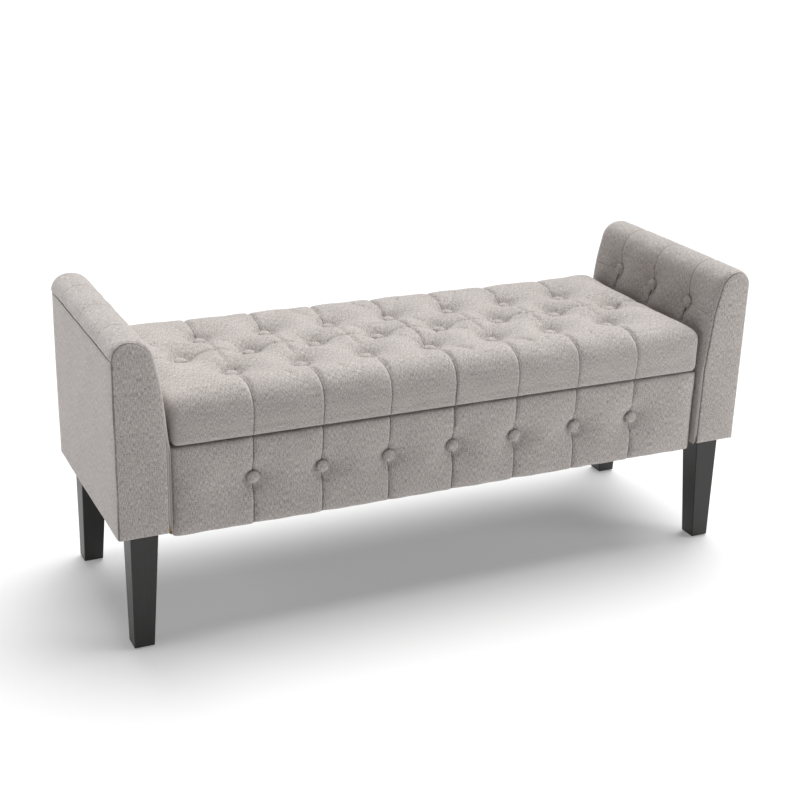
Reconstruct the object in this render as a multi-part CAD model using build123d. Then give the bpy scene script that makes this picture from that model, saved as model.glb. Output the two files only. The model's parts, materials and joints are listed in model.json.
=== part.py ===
from build123d import *
import os
from math import atan2, degrees

# A storage bench for a hallway or the foot of a bed: a tufted, hinged seat over a storage box, between
# two padded arms that carry the legs. Millimetres. The origin is on the floor under the middle of the
# bench, +X along its length, -Y to the front, +Z up. Left is -X, as seen from the front.

# ---- overall sizes
LENGTH = 1270.0  # over the outer faces of both arms
DEPTH = 430.0  # over the front and back facings of an arm
ARM_TOP = 575.0  # floor to the crown of an arm
ARM_UNDERSIDE = 222.0  # floor to the underside of an arm, which is the leg length with its glide
BOX_UNDERSIDE = 210.0  # floor to the underside of the storage box
BOX_RIM = 374.0  # floor to the rim of the storage box
LID_HEIGHT = 92.0  # thickness of the padded lid over its crown

# ---- arms
ARM_WIDTH = 98.0  # at the bottom
ARM_LEAN_LOW = 11.0  # how far the inner face leans outwards from the box rim to the bend
ARM_LEAN_TOP = 30.0  # how far it has leaned at the crown
ARM_BEND_DROP = 85.0  # crown down to the bend of the inner face
ARM_BEND_R = 150.0
CROWN_R_INNER = 25.0  # rounding of the crown on the seat side
CROWN_R_OUTER = 31.0  # rounding of the crown on the outer side
FACING_T = 5.0  # padded front and back facings
OUTER_COVER_T = 4.0  # padded outer cover
OUTER_SEAM_DROP = 33.0  # crown down to the seam along the top of the outer cover
ARM_SKIN_T = 3.0  # thin padding where the arm is clamped to the box
CROWN_PAD_T = 18.0  # padding over the top rail
SIDE_PAD_T = 34.0  # padding between the inner panel and the upright face
FRAME_CORNER_R = 18.0  # rounding of the arm frame's top corners
RIB_T = 15.0  # plywood profile ribs
BASE_PANEL_T = 15.0  # plywood panel that is bolted to the box
INNER_PANEL_T = 4.0  # hardboard behind the padding
OUTER_PANEL_T = 5.0  # plywood behind the outer cover
TOP_RAIL_H = 36.0
BOTTOM_RAIL_H = 30.0
SHELF_RAIL_H = 18.0
HEM_T = 2.0  # dust cover with the cloth turned under it, below frame parts

# ---- storage box
END_BOARD_T = 15.0
FRONT_BOARD_T = 15.0
BACK_BOARD_T = 15.0
BOTTOM_BOARD_T = 6.0
BATTEN = 20.0  # square battens under the bottom board
BEARER_W = 40.0
BEARER_COUNT = 3
CORNER_BLOCK = 30.0
HINGE_RAIL_D = 20.0
HINGE_RAIL_H = 25.5
LINING_T = 1.5
RIM_COVER_T = 1.5
DUST_T = 1.0
FRONT_PAD_T = 18.0
FRONT_PAD_R = 14.0  # rounding of its upright ends
FRONT_PAD_EDGE_R = 6.0  # rounding of its top and bottom edges
BACK_COVER_T = 3.0
BACK_COVER_DROP = 2.0  # its top edge lies below the rim, clear of the hinge knuckles
BOX_FRONT_SET = 7.0  # the front pad lies this far behind the front of the arms
BOX_BACK_SET = 7.0  # the back cover lies this far in front of the back of the arms

# ---- lid
LID_GAP = 4.0  # shadow gap between the rim and the lid
LID_SIDE_GAP = 3.0  # between the lid and an arm, and between the front pad and an arm
LID_BOARD_T = 15.0
LID_BOARD_INSET = 10.0  # padding around the board's front and ends
LID_BACK_PAD = 7.0  # padding behind the board
LID_BACK_SET = 10.0  # the lid's back lies this far in front of the back of the arms
LID_CORNER_R = 24.0
LID_EDGE_R = 22.0
LID_DUST_INSET = 32.0
LID_DUST_CLEAR = 5.0  # between the dust cover and the hinge leaves
BUMPER_R = 6.0
BUMPER_CLEAR = 0.3
BUMPER_END_INSET = 44.0  # from the end of the lid board

# ---- covered buttons
BUTTON_R = 11.8
BUTTON_T = 7.0
BUTTON_DOME_R = 5.0
STEM_R = 1.0  # the tufting twine that ties a button down
STEM_CLEAR = 0.3
POCKET_CLEAR = 1.4  # around a button in its pocket
TUFT_LONG_ROW = 8  # buttons in the middle row of the lid, one fewer in the others
TUFT_END_INSET = 80.4  # end of the lid to the first button of the long row
TUFT_EDGE_INSET = 113.5  # front of the lid to the first row
LID_BUTTON_SINK = 22.0  # lid crown down to the seat of a button
FRONT_BUTTON_SINK = 12.0
FRONT_BUTTON_DROP = 77.0  # rim down to the row of buttons
ARM_BUTTON_COUNT = 3
ARM_BUTTON_END_INSET = 88.0  # facing to the first button
ARM_BUTTON_DROP = 81.0  # crown down to the row of buttons
ARM_BUTTON_SINK = 13.0  # from the upper end of the sloping face

# ---- legs
LEG_TOP = 50.0
LEG_FOOT = 36.7
LEG_EDGE_R = 2.0
LEG_END_INSET = 26.0  # from the outer face of an arm
LEG_FRONT_INSET = 18.0  # from the front or back of an arm
GLIDE_R = 13.0
GLIDE_T = 3.0

# ---- bolts, nuts and screws
BOLT_R = 3.9  # M8, plain
BOLT_HOLE_CLEAR = 0.6
THREAD_CLEAR = 0.1  # between a thread and what it is screwed into
HANGER_LEG_DEPTH = 50.0
BOLT_TIP = 4.0  # bolt end past its nut
NUT_BARREL_R = 5.2
NUT_BARREL_L = 10.0
NUT_FLANGE_R = 11.0
NUT_FLANGE_T = 1.5
BOLT_HEAD_R = 9.0
BOLT_HEAD_T = 2.0
ARM_BOLT_COUNT = 3
ARM_BOLT_PITCH = 110.0
SCREW_R = 1.6
SCREW_HEAD_R = 3.2
SCREW_L = 14.0
SCREW_EDGE = 4.0  # between a screw's head and the edge of what it holds

# ---- hinges
HINGE_COUNT = 3
HINGE_L = 60.0
HINGE_END_INSET = 120.0  # from the end of the lid to the middle of the outer hinges
HINGE_SET_BACK = 4.0  # hinge pin behind the back of the box boards
KNUCKLE_R = 3.0
KNUCKLE_COUNT = 5
KNUCKLE_GAP = 0.4
PIN_R = 1.5
PIN_CLEAR = 0.05
LEAF_T = 1.5
LEAF_W = 33.0
LEAF_GAP = 0.5  # between a leaf and the other leaf's knuckles
HINGE_SCREW_SPAN = 44.0

# ---- lid stays: with the hinge pin they make a parallelogram, so both arms keep to the lid's angle
STAY_LID_REACH = 170.0  # hinge pin forward to the lid pivot
STAY_LID_DROP = 14.0  # hinge pin down to the lid pivot
STAY_BOX_REACH = 66.0  # hinge pin forward to the box pivot
STAY_W = 15.0
STAY_T = 2.0
STAY_GAP = 0.2  # between neighbouring plates
RIVET_R = 3.0
RIVET_HEAD_R = 5.0
RIVET_HEAD_T = 1.2
RIVET_CLEAR = 0.05
ELBOW_CLEAR = 0.4  # the one pivot that is left loose
BRACKET_W = 28.0
BRACKET_H = 40.0
BRACKET_EDGE = 9.0  # box pivot up to the top of its bracket
BRACKET_SCREW_SPAN = 16.0
FLANGE_L = 44.0
FLANGE_D = 20.0
FLANGE_SCREW_SPAN = 30.0

# ---- worked out from the sizes above
half_l = LENGTH / 2
half_d = DEPTH / 2
arm_x = half_l - ARM_WIDTH  # inner face of an arm, at the bottom
arm_h = ARM_TOP - ARM_UNDERSIDE
frame_half_d = half_d - FACING_T
rib_inner_y = frame_half_d - RIB_T

pad_front_y = -half_d + BOX_FRONT_SET
box_front_y = pad_front_y + FRONT_PAD_T
box_back_y = half_d - BOX_BACK_SET - BACK_COVER_T
board_top = BOX_RIM - RIM_COVER_T
inside_x = arm_x - END_BOARD_T
inside_front_y = box_front_y + FRONT_BOARD_T
inside_back_y = box_back_y - BACK_BOARD_T
floor_z = BOX_UNDERSIDE + BATTEN + BOTTOM_BOARD_T
rail_bottom = board_top - HINGE_RAIL_H

lid_x = arm_x - LID_SIDE_GAP
lid_bottom = BOX_RIM + LID_GAP
lid_top = lid_bottom + LID_HEIGHT
lid_front_y = pad_front_y
lid_back_y = half_d - LID_BACK_SET
lid_board_x = lid_x - LID_BOARD_INSET
lid_board_front_y = lid_front_y + LID_BOARD_INSET
lid_board_back_y = lid_back_y - LID_BACK_PAD

hinge_y = box_back_y + HINGE_SET_BACK
hinge_z = BOX_RIM + LID_GAP / 2

# The arm is bolted through the lowest, thin part of its padding, so its frame steps back above that.
step_h = board_top - ARM_UNDERSIDE
outer_u = ARM_WIDTH - OUTER_COVER_T
frame_top_h = arm_h - CROWN_PAD_T

# Plates of a lid stay, counted from the end of the box towards the middle of the bench.
bracket_face = inside_x - LINING_T
layer_0 = bracket_face - STAY_T
layer_1 = layer_0 - STAY_GAP - STAY_T
layer_2 = layer_1 - STAY_GAP - STAY_T
# With the lid shut the elbow hangs half-way down the storage box.
stay_elbow = (
    hinge_y - STAY_BOX_REACH - STAY_LID_REACH,
    (floor_z + LINING_T + BOX_RIM) / 2,
)
stay_box_pivot = (hinge_y - STAY_BOX_REACH, stay_elbow[1] + STAY_LID_DROP)
stay_lid_pivot = (hinge_y - STAY_LID_REACH, hinge_z - STAY_LID_DROP)


def block(x, y, z):
    """A block between low and high values along each axis."""
    place = Pos((x[0] + x[1]) / 2, (y[0] + y[1]) / 2, (z[0] + z[1]) / 2)
    return place * Box(x[1] - x[0], y[1] - y[0], z[1] - z[0])


def rod_x(radius, x, y, z):
    """A round bar along X from x[0] to x[1]."""
    return Pos((x[0] + x[1]) / 2, y, z) * Rot(0, 90, 0) * Cylinder(radius, x[1] - x[0])


def rod_z(radius, x, y, z):
    """A round bar along Z from z[0] to z[1]."""
    return Pos(x, y, (z[0] + z[1]) / 2) * Cylinder(radius, z[1] - z[0])


def arm_slab(profile, y):
    """A profile in (X, Z) made solid from y[0] to y[1]."""
    sketch = Plane.XZ.offset(-y[1]) * profile
    return extrude(sketch, y[1] - y[0])


def mirrored(shape):
    return mirror(shape, about=Plane.YZ)


def spread(count, pitch):
    """Places of count things, a pitch apart, about zero."""
    return [(i - (count - 1) / 2) * pitch for i in range(count)]


def save(name, *shapes):
    """Write one node, which holds each of the shapes as its own solid."""
    solids = [solid for shape in shapes for solid in shape.solids()]
    export_step(Compound(children=solids), f"parts/{name}.step")


def save_pair(name, right):
    """Write a right-hand piece and its mirror image."""
    save(f"{name}_right", right)
    save(f"{name}_left", mirrored(right))


# ------------------------------------------------------------------------------------------- fasteners
def button(stem):
    """A covered button with its seat at the origin, facing +Z, on a twine that goes down by stem."""
    body = Pos(0, 0, BUTTON_T / 2) * Cylinder(BUTTON_R, BUTTON_T)
    body = fillet(body.edges().group_by(Axis.Z)[-1], BUTTON_DOME_R)
    return body + rod_z(STEM_R, 0, 0, (-stem, BUTTON_T / 2))


def button_pocket(stem, depth):
    """What a padded piece leaves free for a button: a pocket of that depth and a hole for the twine."""
    pocket = rod_z(BUTTON_R + POCKET_CLEAR, 0, 0, (0, depth))
    return pocket + rod_z(STEM_R + STEM_CLEAR, 0, 0, (-stem, depth / 2))


def screw():
    """A countersunk screw, its flat head level with the origin and its shank down -Z."""
    sink = SCREW_HEAD_R - SCREW_R
    head = Pos(0, 0, -sink / 2) * Cone(SCREW_R, SCREW_HEAD_R, sink)
    return head + rod_z(SCREW_R, 0, 0, (-SCREW_L, -sink / 2))


def screw_hole():
    """The same shape with its clearance, cut into what the screw holds."""
    sink = SCREW_HEAD_R - SCREW_R
    top = SCREW_HEAD_R + THREAD_CLEAR
    cone = Pos(0, 0, -sink / 2) * Cone(SCREW_R + THREAD_CLEAR, top, sink)
    return cone + rod_z(SCREW_R + THREAD_CLEAR, 0, 0, (-SCREW_L - THREAD_CLEAR, -sink / 2))


def tee_nut():
    """A tee nut whose flange lies on the plane of the origin, its barrel down -Z."""
    nut = rod_z(NUT_BARREL_R, 0, 0, (-NUT_BARREL_L, NUT_FLANGE_T / 2))
    nut += rod_z(NUT_FLANGE_R, 0, 0, (0, NUT_FLANGE_T))
    return nut - rod_z(BOLT_R + THREAD_CLEAR, 0, 0, (-NUT_BARREL_L - 1, NUT_FLANGE_T + 1))


def tee_nut_hole(depth):
    """What a panel leaves free for a nut's barrel and for the bolt that comes from below."""
    hole = rod_z(NUT_BARREL_R + THREAD_CLEAR, 0, 0, (-NUT_BARREL_L - THREAD_CLEAR, 1))
    return hole + rod_z(BOLT_R + BOLT_HOLE_CLEAR, 0, 0, (-depth - 1, 1))


UP = Rot(0, 0, 0)
DOWN = Rot(180, 0, 0)
FACING_FRONT = Rot(90, 0, 0)
FACING_SEAT = Rot(0, -90, 0)  # on the right-hand side, towards the middle of the bench
FACING_END = Rot(0, 90, 0)

lid_button_seat = lid_top - LID_BUTTON_SINK
front_button_y = pad_front_y + FRONT_BUTTON_SINK
arm_button_x = arm_x + ARM_BUTTON_SINK + BUTTON_T
arm_button_z = ARM_TOP - ARM_BUTTON_DROP

tuft_pitch = 2 * (lid_x - TUFT_END_INSET) / (TUFT_LONG_ROW - 1)
tuft_row_pitch = (lid_back_y - lid_front_y) / 2 - TUFT_EDGE_INSET
arm_button_pitch = 2 * (frame_half_d - ARM_BUTTON_END_INSET) / (ARM_BUTTON_COUNT - 1)
lid_button_places = []
for row, row_y in enumerate(spread(3, tuft_row_pitch)):
    for tuft_x in spread(TUFT_LONG_ROW - 1 + row % 2, tuft_pitch):
        lid_button_places.append(Pos(tuft_x, row_y, lid_button_seat) * UP)
front_button_places = [
    Pos(tuft_x, front_button_y, BOX_RIM - FRONT_BUTTON_DROP) * FACING_FRONT
    for tuft_x in spread(TUFT_LONG_ROW - 1, tuft_pitch)
]
arm_button_places = [
    Pos(arm_button_x, tuft_y, arm_button_z) * FACING_SEAT
    for tuft_y in spread(ARM_BUTTON_COUNT, arm_button_pitch)
]
leg_x = half_l - LEG_END_INSET - LEG_TOP / 2
leg_y = half_d - LEG_FRONT_INSET - LEG_TOP / 2
# The arm bolts lie half-way between the bottom rail and the shelf rail of the arm.
arm_bolt_low = ARM_UNDERSIDE + HEM_T + BOTTOM_RAIL_H
arm_bolt_high = board_top - SHELF_RAIL_H
arm_bolt_z = (arm_bolt_low + arm_bolt_high) / 2
arm_bolt_places = [(y, arm_bolt_z) for y in spread(ARM_BOLT_COUNT, ARM_BOLT_PITCH)]

# Screws of the hinges: up into the lid board, and down into the back board and its rail.
leaf_front_y = hinge_y - LEAF_W
hinge_screw_y = leaf_front_y + SCREW_HEAD_R + SCREW_EDGE
hinge_places = spread(HINGE_COUNT, (lid_x - HINGE_END_INSET) * 2 / (HINGE_COUNT - 1))
box_leaf_top = BOX_RIM + LEAF_T
lid_leaf_bottom = lid_bottom - LEAF_T
hinge_screw_places = [
    (x + dx, hinge_screw_y) for x in hinge_places for dx in spread(3, HINGE_SCREW_SPAN / 2)
]
bracket_top = stay_box_pivot[1] + BRACKET_EDGE
bracket_bottom = bracket_top - BRACKET_H
flange_x = layer_1 + STAY_T - FLANGE_D
flange_bottom = lid_bottom - STAY_T
box_screw_places = [Pos(x, y, box_leaf_top) * UP for x, y in hinge_screw_places]
lid_screw_places = [Pos(x, y, lid_leaf_bottom) * DOWN for x, y in hinge_screw_places]
bracket_screw_z = bracket_bottom + SCREW_HEAD_R + SCREW_EDGE
for dy in spread(2, BRACKET_SCREW_SPAN):
    place = (stay_box_pivot[0] + dy, bracket_screw_z)
    box_screw_places.append(Pos(layer_0, *place) * FACING_SEAT)
    box_screw_places.append(Pos(-layer_0, *place) * FACING_END)
flange_screw_x = flange_x + SCREW_HEAD_R + SCREW_EDGE
for dy in spread(2, FLANGE_SCREW_SPAN):
    for x in (flange_screw_x, -flange_screw_x):
        lid_screw_places.append(Pos(x, stay_lid_pivot[0] + dy, flange_bottom) * DOWN)


def screw_cuts(places):
    return [place * screw_hole() for place in places]


box_screw_cuts = screw_cuts(box_screw_places)
lid_screw_cuts = screw_cuts(lid_screw_places)


# -------------------------------------------------------------------------------------------- the arms
def arm_outline():
    """The padded section of the right arm, seen from the front."""
    points = [
        (arm_x, ARM_UNDERSIDE),
        (arm_x, BOX_RIM),
        (arm_x + ARM_LEAN_LOW, ARM_TOP - ARM_BEND_DROP),
        (arm_x + ARM_LEAN_TOP, ARM_TOP),
        (half_l, ARM_TOP),
        (half_l, ARM_UNDERSIDE),
    ]
    radii = [0, 0, ARM_BEND_R, CROWN_R_INNER, CROWN_R_OUTER, 0]
    return make_face(FilletPolyline(points, radius=radii, close=True))


def arm_frame_outline():
    """The section of the frame inside the padding, down to the hem."""
    base = ARM_UNDERSIDE + HEM_T
    points = [
        (arm_x + ARM_SKIN_T, base),
        (arm_x + ARM_SKIN_T, ARM_UNDERSIDE + step_h),
        (arm_x + SIDE_PAD_T, ARM_UNDERSIDE + step_h),
        (arm_x + SIDE_PAD_T, ARM_UNDERSIDE + frame_top_h),
        (arm_x + outer_u, ARM_UNDERSIDE + frame_top_h),
        (arm_x + outer_u, base),
    ]
    radii = [0, 0, 0, FRAME_CORNER_R, FRAME_CORNER_R, 0]
    return make_face(FilletPolyline(points, radius=radii, close=True))


def flat(x, z):
    """A rectangle in the arm's section, between low and high values."""
    place = Pos((x[0] + x[1]) / 2, (z[0] + z[1]) / 2)
    return place * Rectangle(x[1] - x[0], z[1] - z[0])


def build_arms():
    outline = arm_outline()
    frame = arm_frame_outline()
    hem_x = (arm_x + ARM_SKIN_T, arm_x + outer_u)
    hem_z = (ARM_UNDERSIDE, ARM_UNDERSIDE + HEM_T)
    frame_z = ARM_UNDERSIDE + HEM_T
    cover_x = (arm_x + outer_u, half_l)
    cover_z = (ARM_UNDERSIDE, ARM_TOP - OUTER_SEAM_DROP)
    step_z = ARM_UNDERSIDE + step_h
    rail_z = ARM_UNDERSIDE + frame_top_h - TOP_RAIL_H
    inner_x = arm_x + SIDE_PAD_T
    base_x = (arm_x + ARM_SKIN_T, arm_x + ARM_SKIN_T + BASE_PANEL_T)
    panel_x = (arm_x + outer_u - OUTER_PANEL_T, arm_x + outer_u)
    between_ribs = (-rib_inner_y, rib_inner_y)

    bolt_tip = base_x[1] + NUT_FLANGE_T + BOLT_TIP
    bolt_holes = [
        rod_x(BOLT_R + BOLT_HOLE_CLEAR, (bracket_face - 1, bolt_tip), y, z)
        for y, z in arm_bolt_places
    ]
    nut_places = [Pos(base_x[1], y, z) * FACING_END for y, z in arm_bolt_places]
    leg_nut_places = [
        Pos(leg_x, y, frame_z + BOTTOM_RAIL_H) for y in (-leg_y, leg_y)
    ]

    ribs = arm_slab(frame, (-frame_half_d, -rib_inner_y))
    ribs += arm_slab(frame, (rib_inner_y, frame_half_d))
    base_panel = block(base_x, between_ribs, (frame_z, step_z))
    base_panel -= [place * tee_nut_hole(BASE_PANEL_T) for place in nut_places]
    inner_panel = block((inner_x, inner_x + INNER_PANEL_T), between_ribs, (step_z, rail_z))
    outer_panel = block(panel_x, between_ribs, (frame_z, rail_z))
    top_rail = arm_slab(frame & flat((inner_x, cover_x[0]), (rail_z, ARM_TOP)), between_ribs)
    bottom_rail = block((base_x[1], panel_x[0]), between_ribs, (frame_z, frame_z + BOTTOM_RAIL_H))
    bottom_rail -= [place * tee_nut_hole(BOTTOM_RAIL_H) for place in leg_nut_places]
    shelf_x = (base_x[1], inner_x + INNER_PANEL_T)
    shelf_rail = block(shelf_x, between_ribs, (step_z - SHELF_RAIL_H, step_z))

    section = outline - frame - flat(cover_x, cover_z) - flat(hem_x, hem_z)
    pad = arm_slab(section, (-frame_half_d, frame_half_d))
    stem = arm_x + SIDE_PAD_T - arm_button_x
    pad -= [place * button_pocket(stem, ARM_BUTTON_SINK + BUTTON_T + 1) for place in arm_button_places]
    pad -= bolt_holes
    facing = arm_slab(outline, (-half_d, -frame_half_d))
    back_facing = arm_slab(outline, (frame_half_d, half_d))
    outer_cover = block(cover_x, (-frame_half_d, frame_half_d), cover_z)
    dust = block(hem_x, (-frame_half_d, frame_half_d), hem_z)
    dust -= [rod_z(BOLT_R + BOLT_HOLE_CLEAR, leg_x, y, hem_z) for y in (-leg_y, leg_y)]

    save("arm_ribs", ribs, mirrored(ribs))
    save("arm_base_panels", base_panel, mirrored(base_panel))
    save("arm_inner_panels", inner_panel, mirrored(inner_panel))
    save("arm_outer_panels", outer_panel, mirrored(outer_panel))
    save("arm_rails_right", top_rail, bottom_rail, shelf_rail)
    save("arm_rails_left", mirrored(top_rail), mirrored(bottom_rail), mirrored(shelf_rail))
    save_pair("arm_pad", pad)
    save_pair("arm_front_facing", facing)
    save_pair("arm_back_facing", back_facing)
    save_pair("arm_outer_cover", outer_cover)
    save("arm_dust_covers", dust, mirrored(dust))
    buttons = [place * button(stem) for place in arm_button_places]
    save("arm_buttons_right", *buttons)
    save("arm_buttons_left", *[mirrored(b) for b in buttons])

    nuts = [place * tee_nut() for place in nut_places]
    nuts += [place * tee_nut() for place in leg_nut_places]
    save("tee_nuts", *nuts, *[mirrored(nut) for nut in nuts])
    bolts = []
    for y, z in arm_bolt_places:
        head = rod_x(BOLT_HEAD_R, (bracket_face - BOLT_HEAD_T, bracket_face), y, z)
        bolts.append(head + rod_x(BOLT_R, (bracket_face - 1, bolt_tip), y, z))
    save("arm_bolts", *bolts, *[mirrored(bolt) for bolt in bolts])
    return bolt_holes


# -------------------------------------------------------------------------------------------- the legs
def build_legs():
    top = Pos(leg_x, -leg_y, ARM_UNDERSIDE) * RectangleRounded(LEG_TOP, LEG_TOP, LEG_EDGE_R)
    shift = (LEG_TOP - LEG_FOOT) / 2  # the outer faces stay upright
    foot_x = leg_x + shift
    foot_y = -leg_y - shift
    foot = Pos(foot_x, foot_y, GLIDE_T) * RectangleRounded(LEG_FOOT, LEG_FOOT, LEG_EDGE_R)
    leg = loft([foot, top])
    bolt_bottom = ARM_UNDERSIDE - HANGER_LEG_DEPTH
    bolt_top = ARM_UNDERSIDE + HEM_T + BOTTOM_RAIL_H + NUT_FLANGE_T + BOLT_TIP
    leg -= rod_z(BOLT_R + THREAD_CLEAR, leg_x, -leg_y, (bolt_bottom, ARM_UNDERSIDE + 1))
    glide = rod_z(GLIDE_R, foot_x, foot_y, (0, GLIDE_T))
    glide = fillet(glide.edges().group_by(Axis.Z)[0], GLIDE_T / 3)
    bolt = rod_z(BOLT_R, leg_x, -leg_y, (bolt_bottom, bolt_top))

    def four(shape):
        front = [mirrored(shape), shape]
        return front + [mirror(one, about=Plane.XZ) for one in front]

    corners = ("front_left", "front_right", "back_left", "back_right")
    for corner, one in zip(corners, four(leg)):
        save(f"leg_{corner}", one)
    save("leg_glides", *four(glide))
    save("leg_hanger_bolts", *four(bolt))


# ------------------------------------------------------------------------------------- the storage box
def build_box(bolt_holes):
    across = (-inside_x, inside_x)
    board_z = (BOX_UNDERSIDE, board_top)
    batten_z = (BOX_UNDERSIDE, BOX_UNDERSIDE + BATTEN)
    rail_z = (rail_bottom, board_top)
    inside_y = (inside_front_y, inside_back_y)
    rim_back_y = inside_back_y - HINGE_RAIL_D

    front_board = block(across, (box_front_y, inside_front_y), board_z)
    stem = box_front_y - front_button_y
    twine_hole = STEM_R + STEM_CLEAR
    back_board = block(across, (inside_back_y, box_back_y), board_z)
    end_board = block((inside_x, arm_x), (box_front_y, box_back_y), board_z)
    end_board -= bolt_holes
    bottom_board = block(across, inside_y, (floor_z - BOTTOM_BOARD_T, floor_z))
    battens = [
        block(across, (inside_front_y, inside_front_y + BATTEN), batten_z),
        block(across, (inside_back_y - BATTEN, inside_back_y), batten_z),
    ]
    bearer_y = (inside_front_y + BATTEN, inside_back_y - BATTEN)
    for x in spread(BEARER_COUNT, 2 * inside_x / (BEARER_COUNT + 1)):
        battens.append(block((x - BEARER_W / 2, x + BEARER_W / 2), bearer_y, batten_z))
    hinge_rail = block(across, (rim_back_y, inside_back_y), rail_z)
    hinge_rail -= box_screw_cuts

    blocks = []
    for x in (inside_x - CORNER_BLOCK, -inside_x):
        for y in (inside_front_y, inside_back_y - CORNER_BLOCK):
            corner = (x, x + CORNER_BLOCK), (y, y + CORNER_BLOCK)
            blocks.append(block(*corner, (floor_z, rail_bottom)))

    lining = block(across, inside_y, (floor_z, rail_bottom)) - blocks
    hollow_x = (-inside_x + LINING_T, inside_x - LINING_T)
    hollow_y = (inside_front_y + LINING_T, inside_back_y - LINING_T)
    hollow = block(hollow_x, hollow_y, (floor_z + LINING_T, rail_bottom + 1))
    for x in (inside_x - CORNER_BLOCK - LINING_T, -inside_x - 1):
        for y in (inside_front_y - 1, inside_back_y - CORNER_BLOCK - LINING_T):
            size = CORNER_BLOCK + LINING_T + 1
            hollow -= block((x, x + size), (y, y + size), (floor_z, rail_bottom + 2))
    lining = lining - hollow - bolt_holes - [mirrored(hole) for hole in bolt_holes]
    lining -= box_screw_cuts

    rim = block((-arm_x, arm_x), (box_front_y, box_back_y), (board_top, BOX_RIM))
    rim += block(across, (inside_front_y, rim_back_y), rail_z)
    mouth_x = (-inside_x + RIM_COVER_T, inside_x - RIM_COVER_T)
    mouth_y = (inside_front_y + RIM_COVER_T, rim_back_y - RIM_COVER_T)
    rim -= block(mouth_x, mouth_y, (rail_bottom - 1, BOX_RIM + 1))
    rim -= box_screw_cuts

    dust = block((-arm_x, arm_x), (box_front_y, box_back_y), (BOX_UNDERSIDE - DUST_T, BOX_UNDERSIDE))

    pad_x = (-arm_x + LID_SIDE_GAP, arm_x - LID_SIDE_GAP)
    pad_z = (BOX_UNDERSIDE - HEM_T, BOX_RIM)
    pad = block(pad_x, (pad_front_y, box_front_y), pad_z)
    pad = fillet(pad.edges().filter_by(Axis.Z).group_by(Axis.Y)[0], FRONT_PAD_R)
    long_edges = pad.edges().filter_by(Axis.X).group_by(Axis.Y)[0]
    pad = fillet(long_edges, FRONT_PAD_EDGE_R)
    pad -= [place * button_pocket(stem, FRONT_BUTTON_SINK + 1) for place in front_button_places]
    back_z = (BOX_UNDERSIDE - DUST_T, BOX_RIM - BACK_COVER_DROP)
    back_cover = block((-arm_x, arm_x), (box_back_y, box_back_y + BACK_COVER_T), back_z)

    stem += FRONT_BOARD_T
    front_board -= [place * rod_z(twine_hole, 0, 0, (-stem - 1, 0)) for place in front_button_places]
    save("front_board", front_board)
    save("back_board", back_board)
    end_board_left = mirrored(end_board)
    save("end_board_right", end_board - box_screw_cuts)
    save("end_board_left", end_board_left - box_screw_cuts)
    save("bottom_board", bottom_board)
    save("bottom_battens", *battens)
    save("hinge_rail", hinge_rail)
    save("corner_blocks", *blocks)
    save("storage_lining", lining)
    save("rim_cover", rim)
    save("box_dust_cover", dust)
    save("front_pad", pad)
    save("back_cover", back_cover)
    save("front_buttons", *[place * button(stem) for place in front_button_places])


# --------------------------------------------------------------------------------------------- the lid
def build_lid():
    board_x = (-lid_board_x, lid_board_x)
    board_y = (lid_board_front_y, lid_board_back_y)
    board_z = (lid_bottom, lid_bottom + LID_BOARD_T)
    stem = lid_button_seat - lid_bottom
    plain_board = block(board_x, board_y, board_z)
    twine = rod_z(STEM_R + STEM_CLEAR, 0, 0, (-stem - 1, 0))
    board = plain_board - [place * twine for place in lid_button_places]
    board -= lid_screw_cuts

    pad = block((-lid_x, lid_x), (lid_front_y, lid_back_y), (lid_bottom, lid_top))
    pad = fillet(pad.edges().filter_by(Axis.Z), LID_CORNER_R)
    pad = fillet(pad.faces().sort_by(Axis.Z)[-1].edges(), LID_EDGE_R)
    pad -= plain_board
    pad -= [place * button_pocket(stem, LID_BUTTON_SINK + 1) for place in lid_button_places]

    dust_x = lid_x - LID_DUST_INSET - LID_BOARD_INSET
    dust_y = (lid_front_y + LID_DUST_INSET, leaf_front_y - LID_DUST_CLEAR)
    dust = block((-dust_x, dust_x), dust_y, (lid_bottom - DUST_T, lid_bottom))
    bumper_x = lid_board_x - BUMPER_END_INSET
    bumper_y = (box_front_y + inside_front_y) / 2
    bumper_z = (BOX_RIM + BUMPER_CLEAR, lid_bottom)
    bumper = rod_z(BUMPER_R, bumper_x, bumper_y, bumper_z)

    save("lid_board", board)
    save("lid_pad", pad)
    save("lid_dust_cover", dust)
    save("lid_bumpers", bumper, mirrored(bumper))
    save("lid_buttons", *[place * button(stem) for place in lid_button_places])


# ------------------------------------------------------------------------------------------ the hinges
def hinge_leaf(plate_z, knuckles, screw_places):
    """All leaves of one side: a plate between two heights with the knuckles of those numbers."""
    knuckle_l = HINGE_L / KNUCKLE_COUNT
    plate_end = hinge_y - KNUCKLE_R - LEAF_GAP
    leaves = []
    for x in hinge_places:
        leaf = block((x - HINGE_L / 2, x + HINGE_L / 2), (leaf_front_y, plate_end), plate_z)
        for number in knuckles:
            start = x - HINGE_L / 2 + number * knuckle_l + KNUCKLE_GAP / 2
            along = (start, start + knuckle_l - KNUCKLE_GAP)
            leaf += block(along, (plate_end, hinge_y), plate_z)
            leaf += rod_x(KNUCKLE_R, along, hinge_y, hinge_z)
        bore = (x - HINGE_L / 2 - 1, x + HINGE_L / 2 + 1)
        leaf -= rod_x(PIN_R + PIN_CLEAR, bore, hinge_y, hinge_z)
        leaves.append(leaf - screw_cuts(screw_places))
    return leaves


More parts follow.
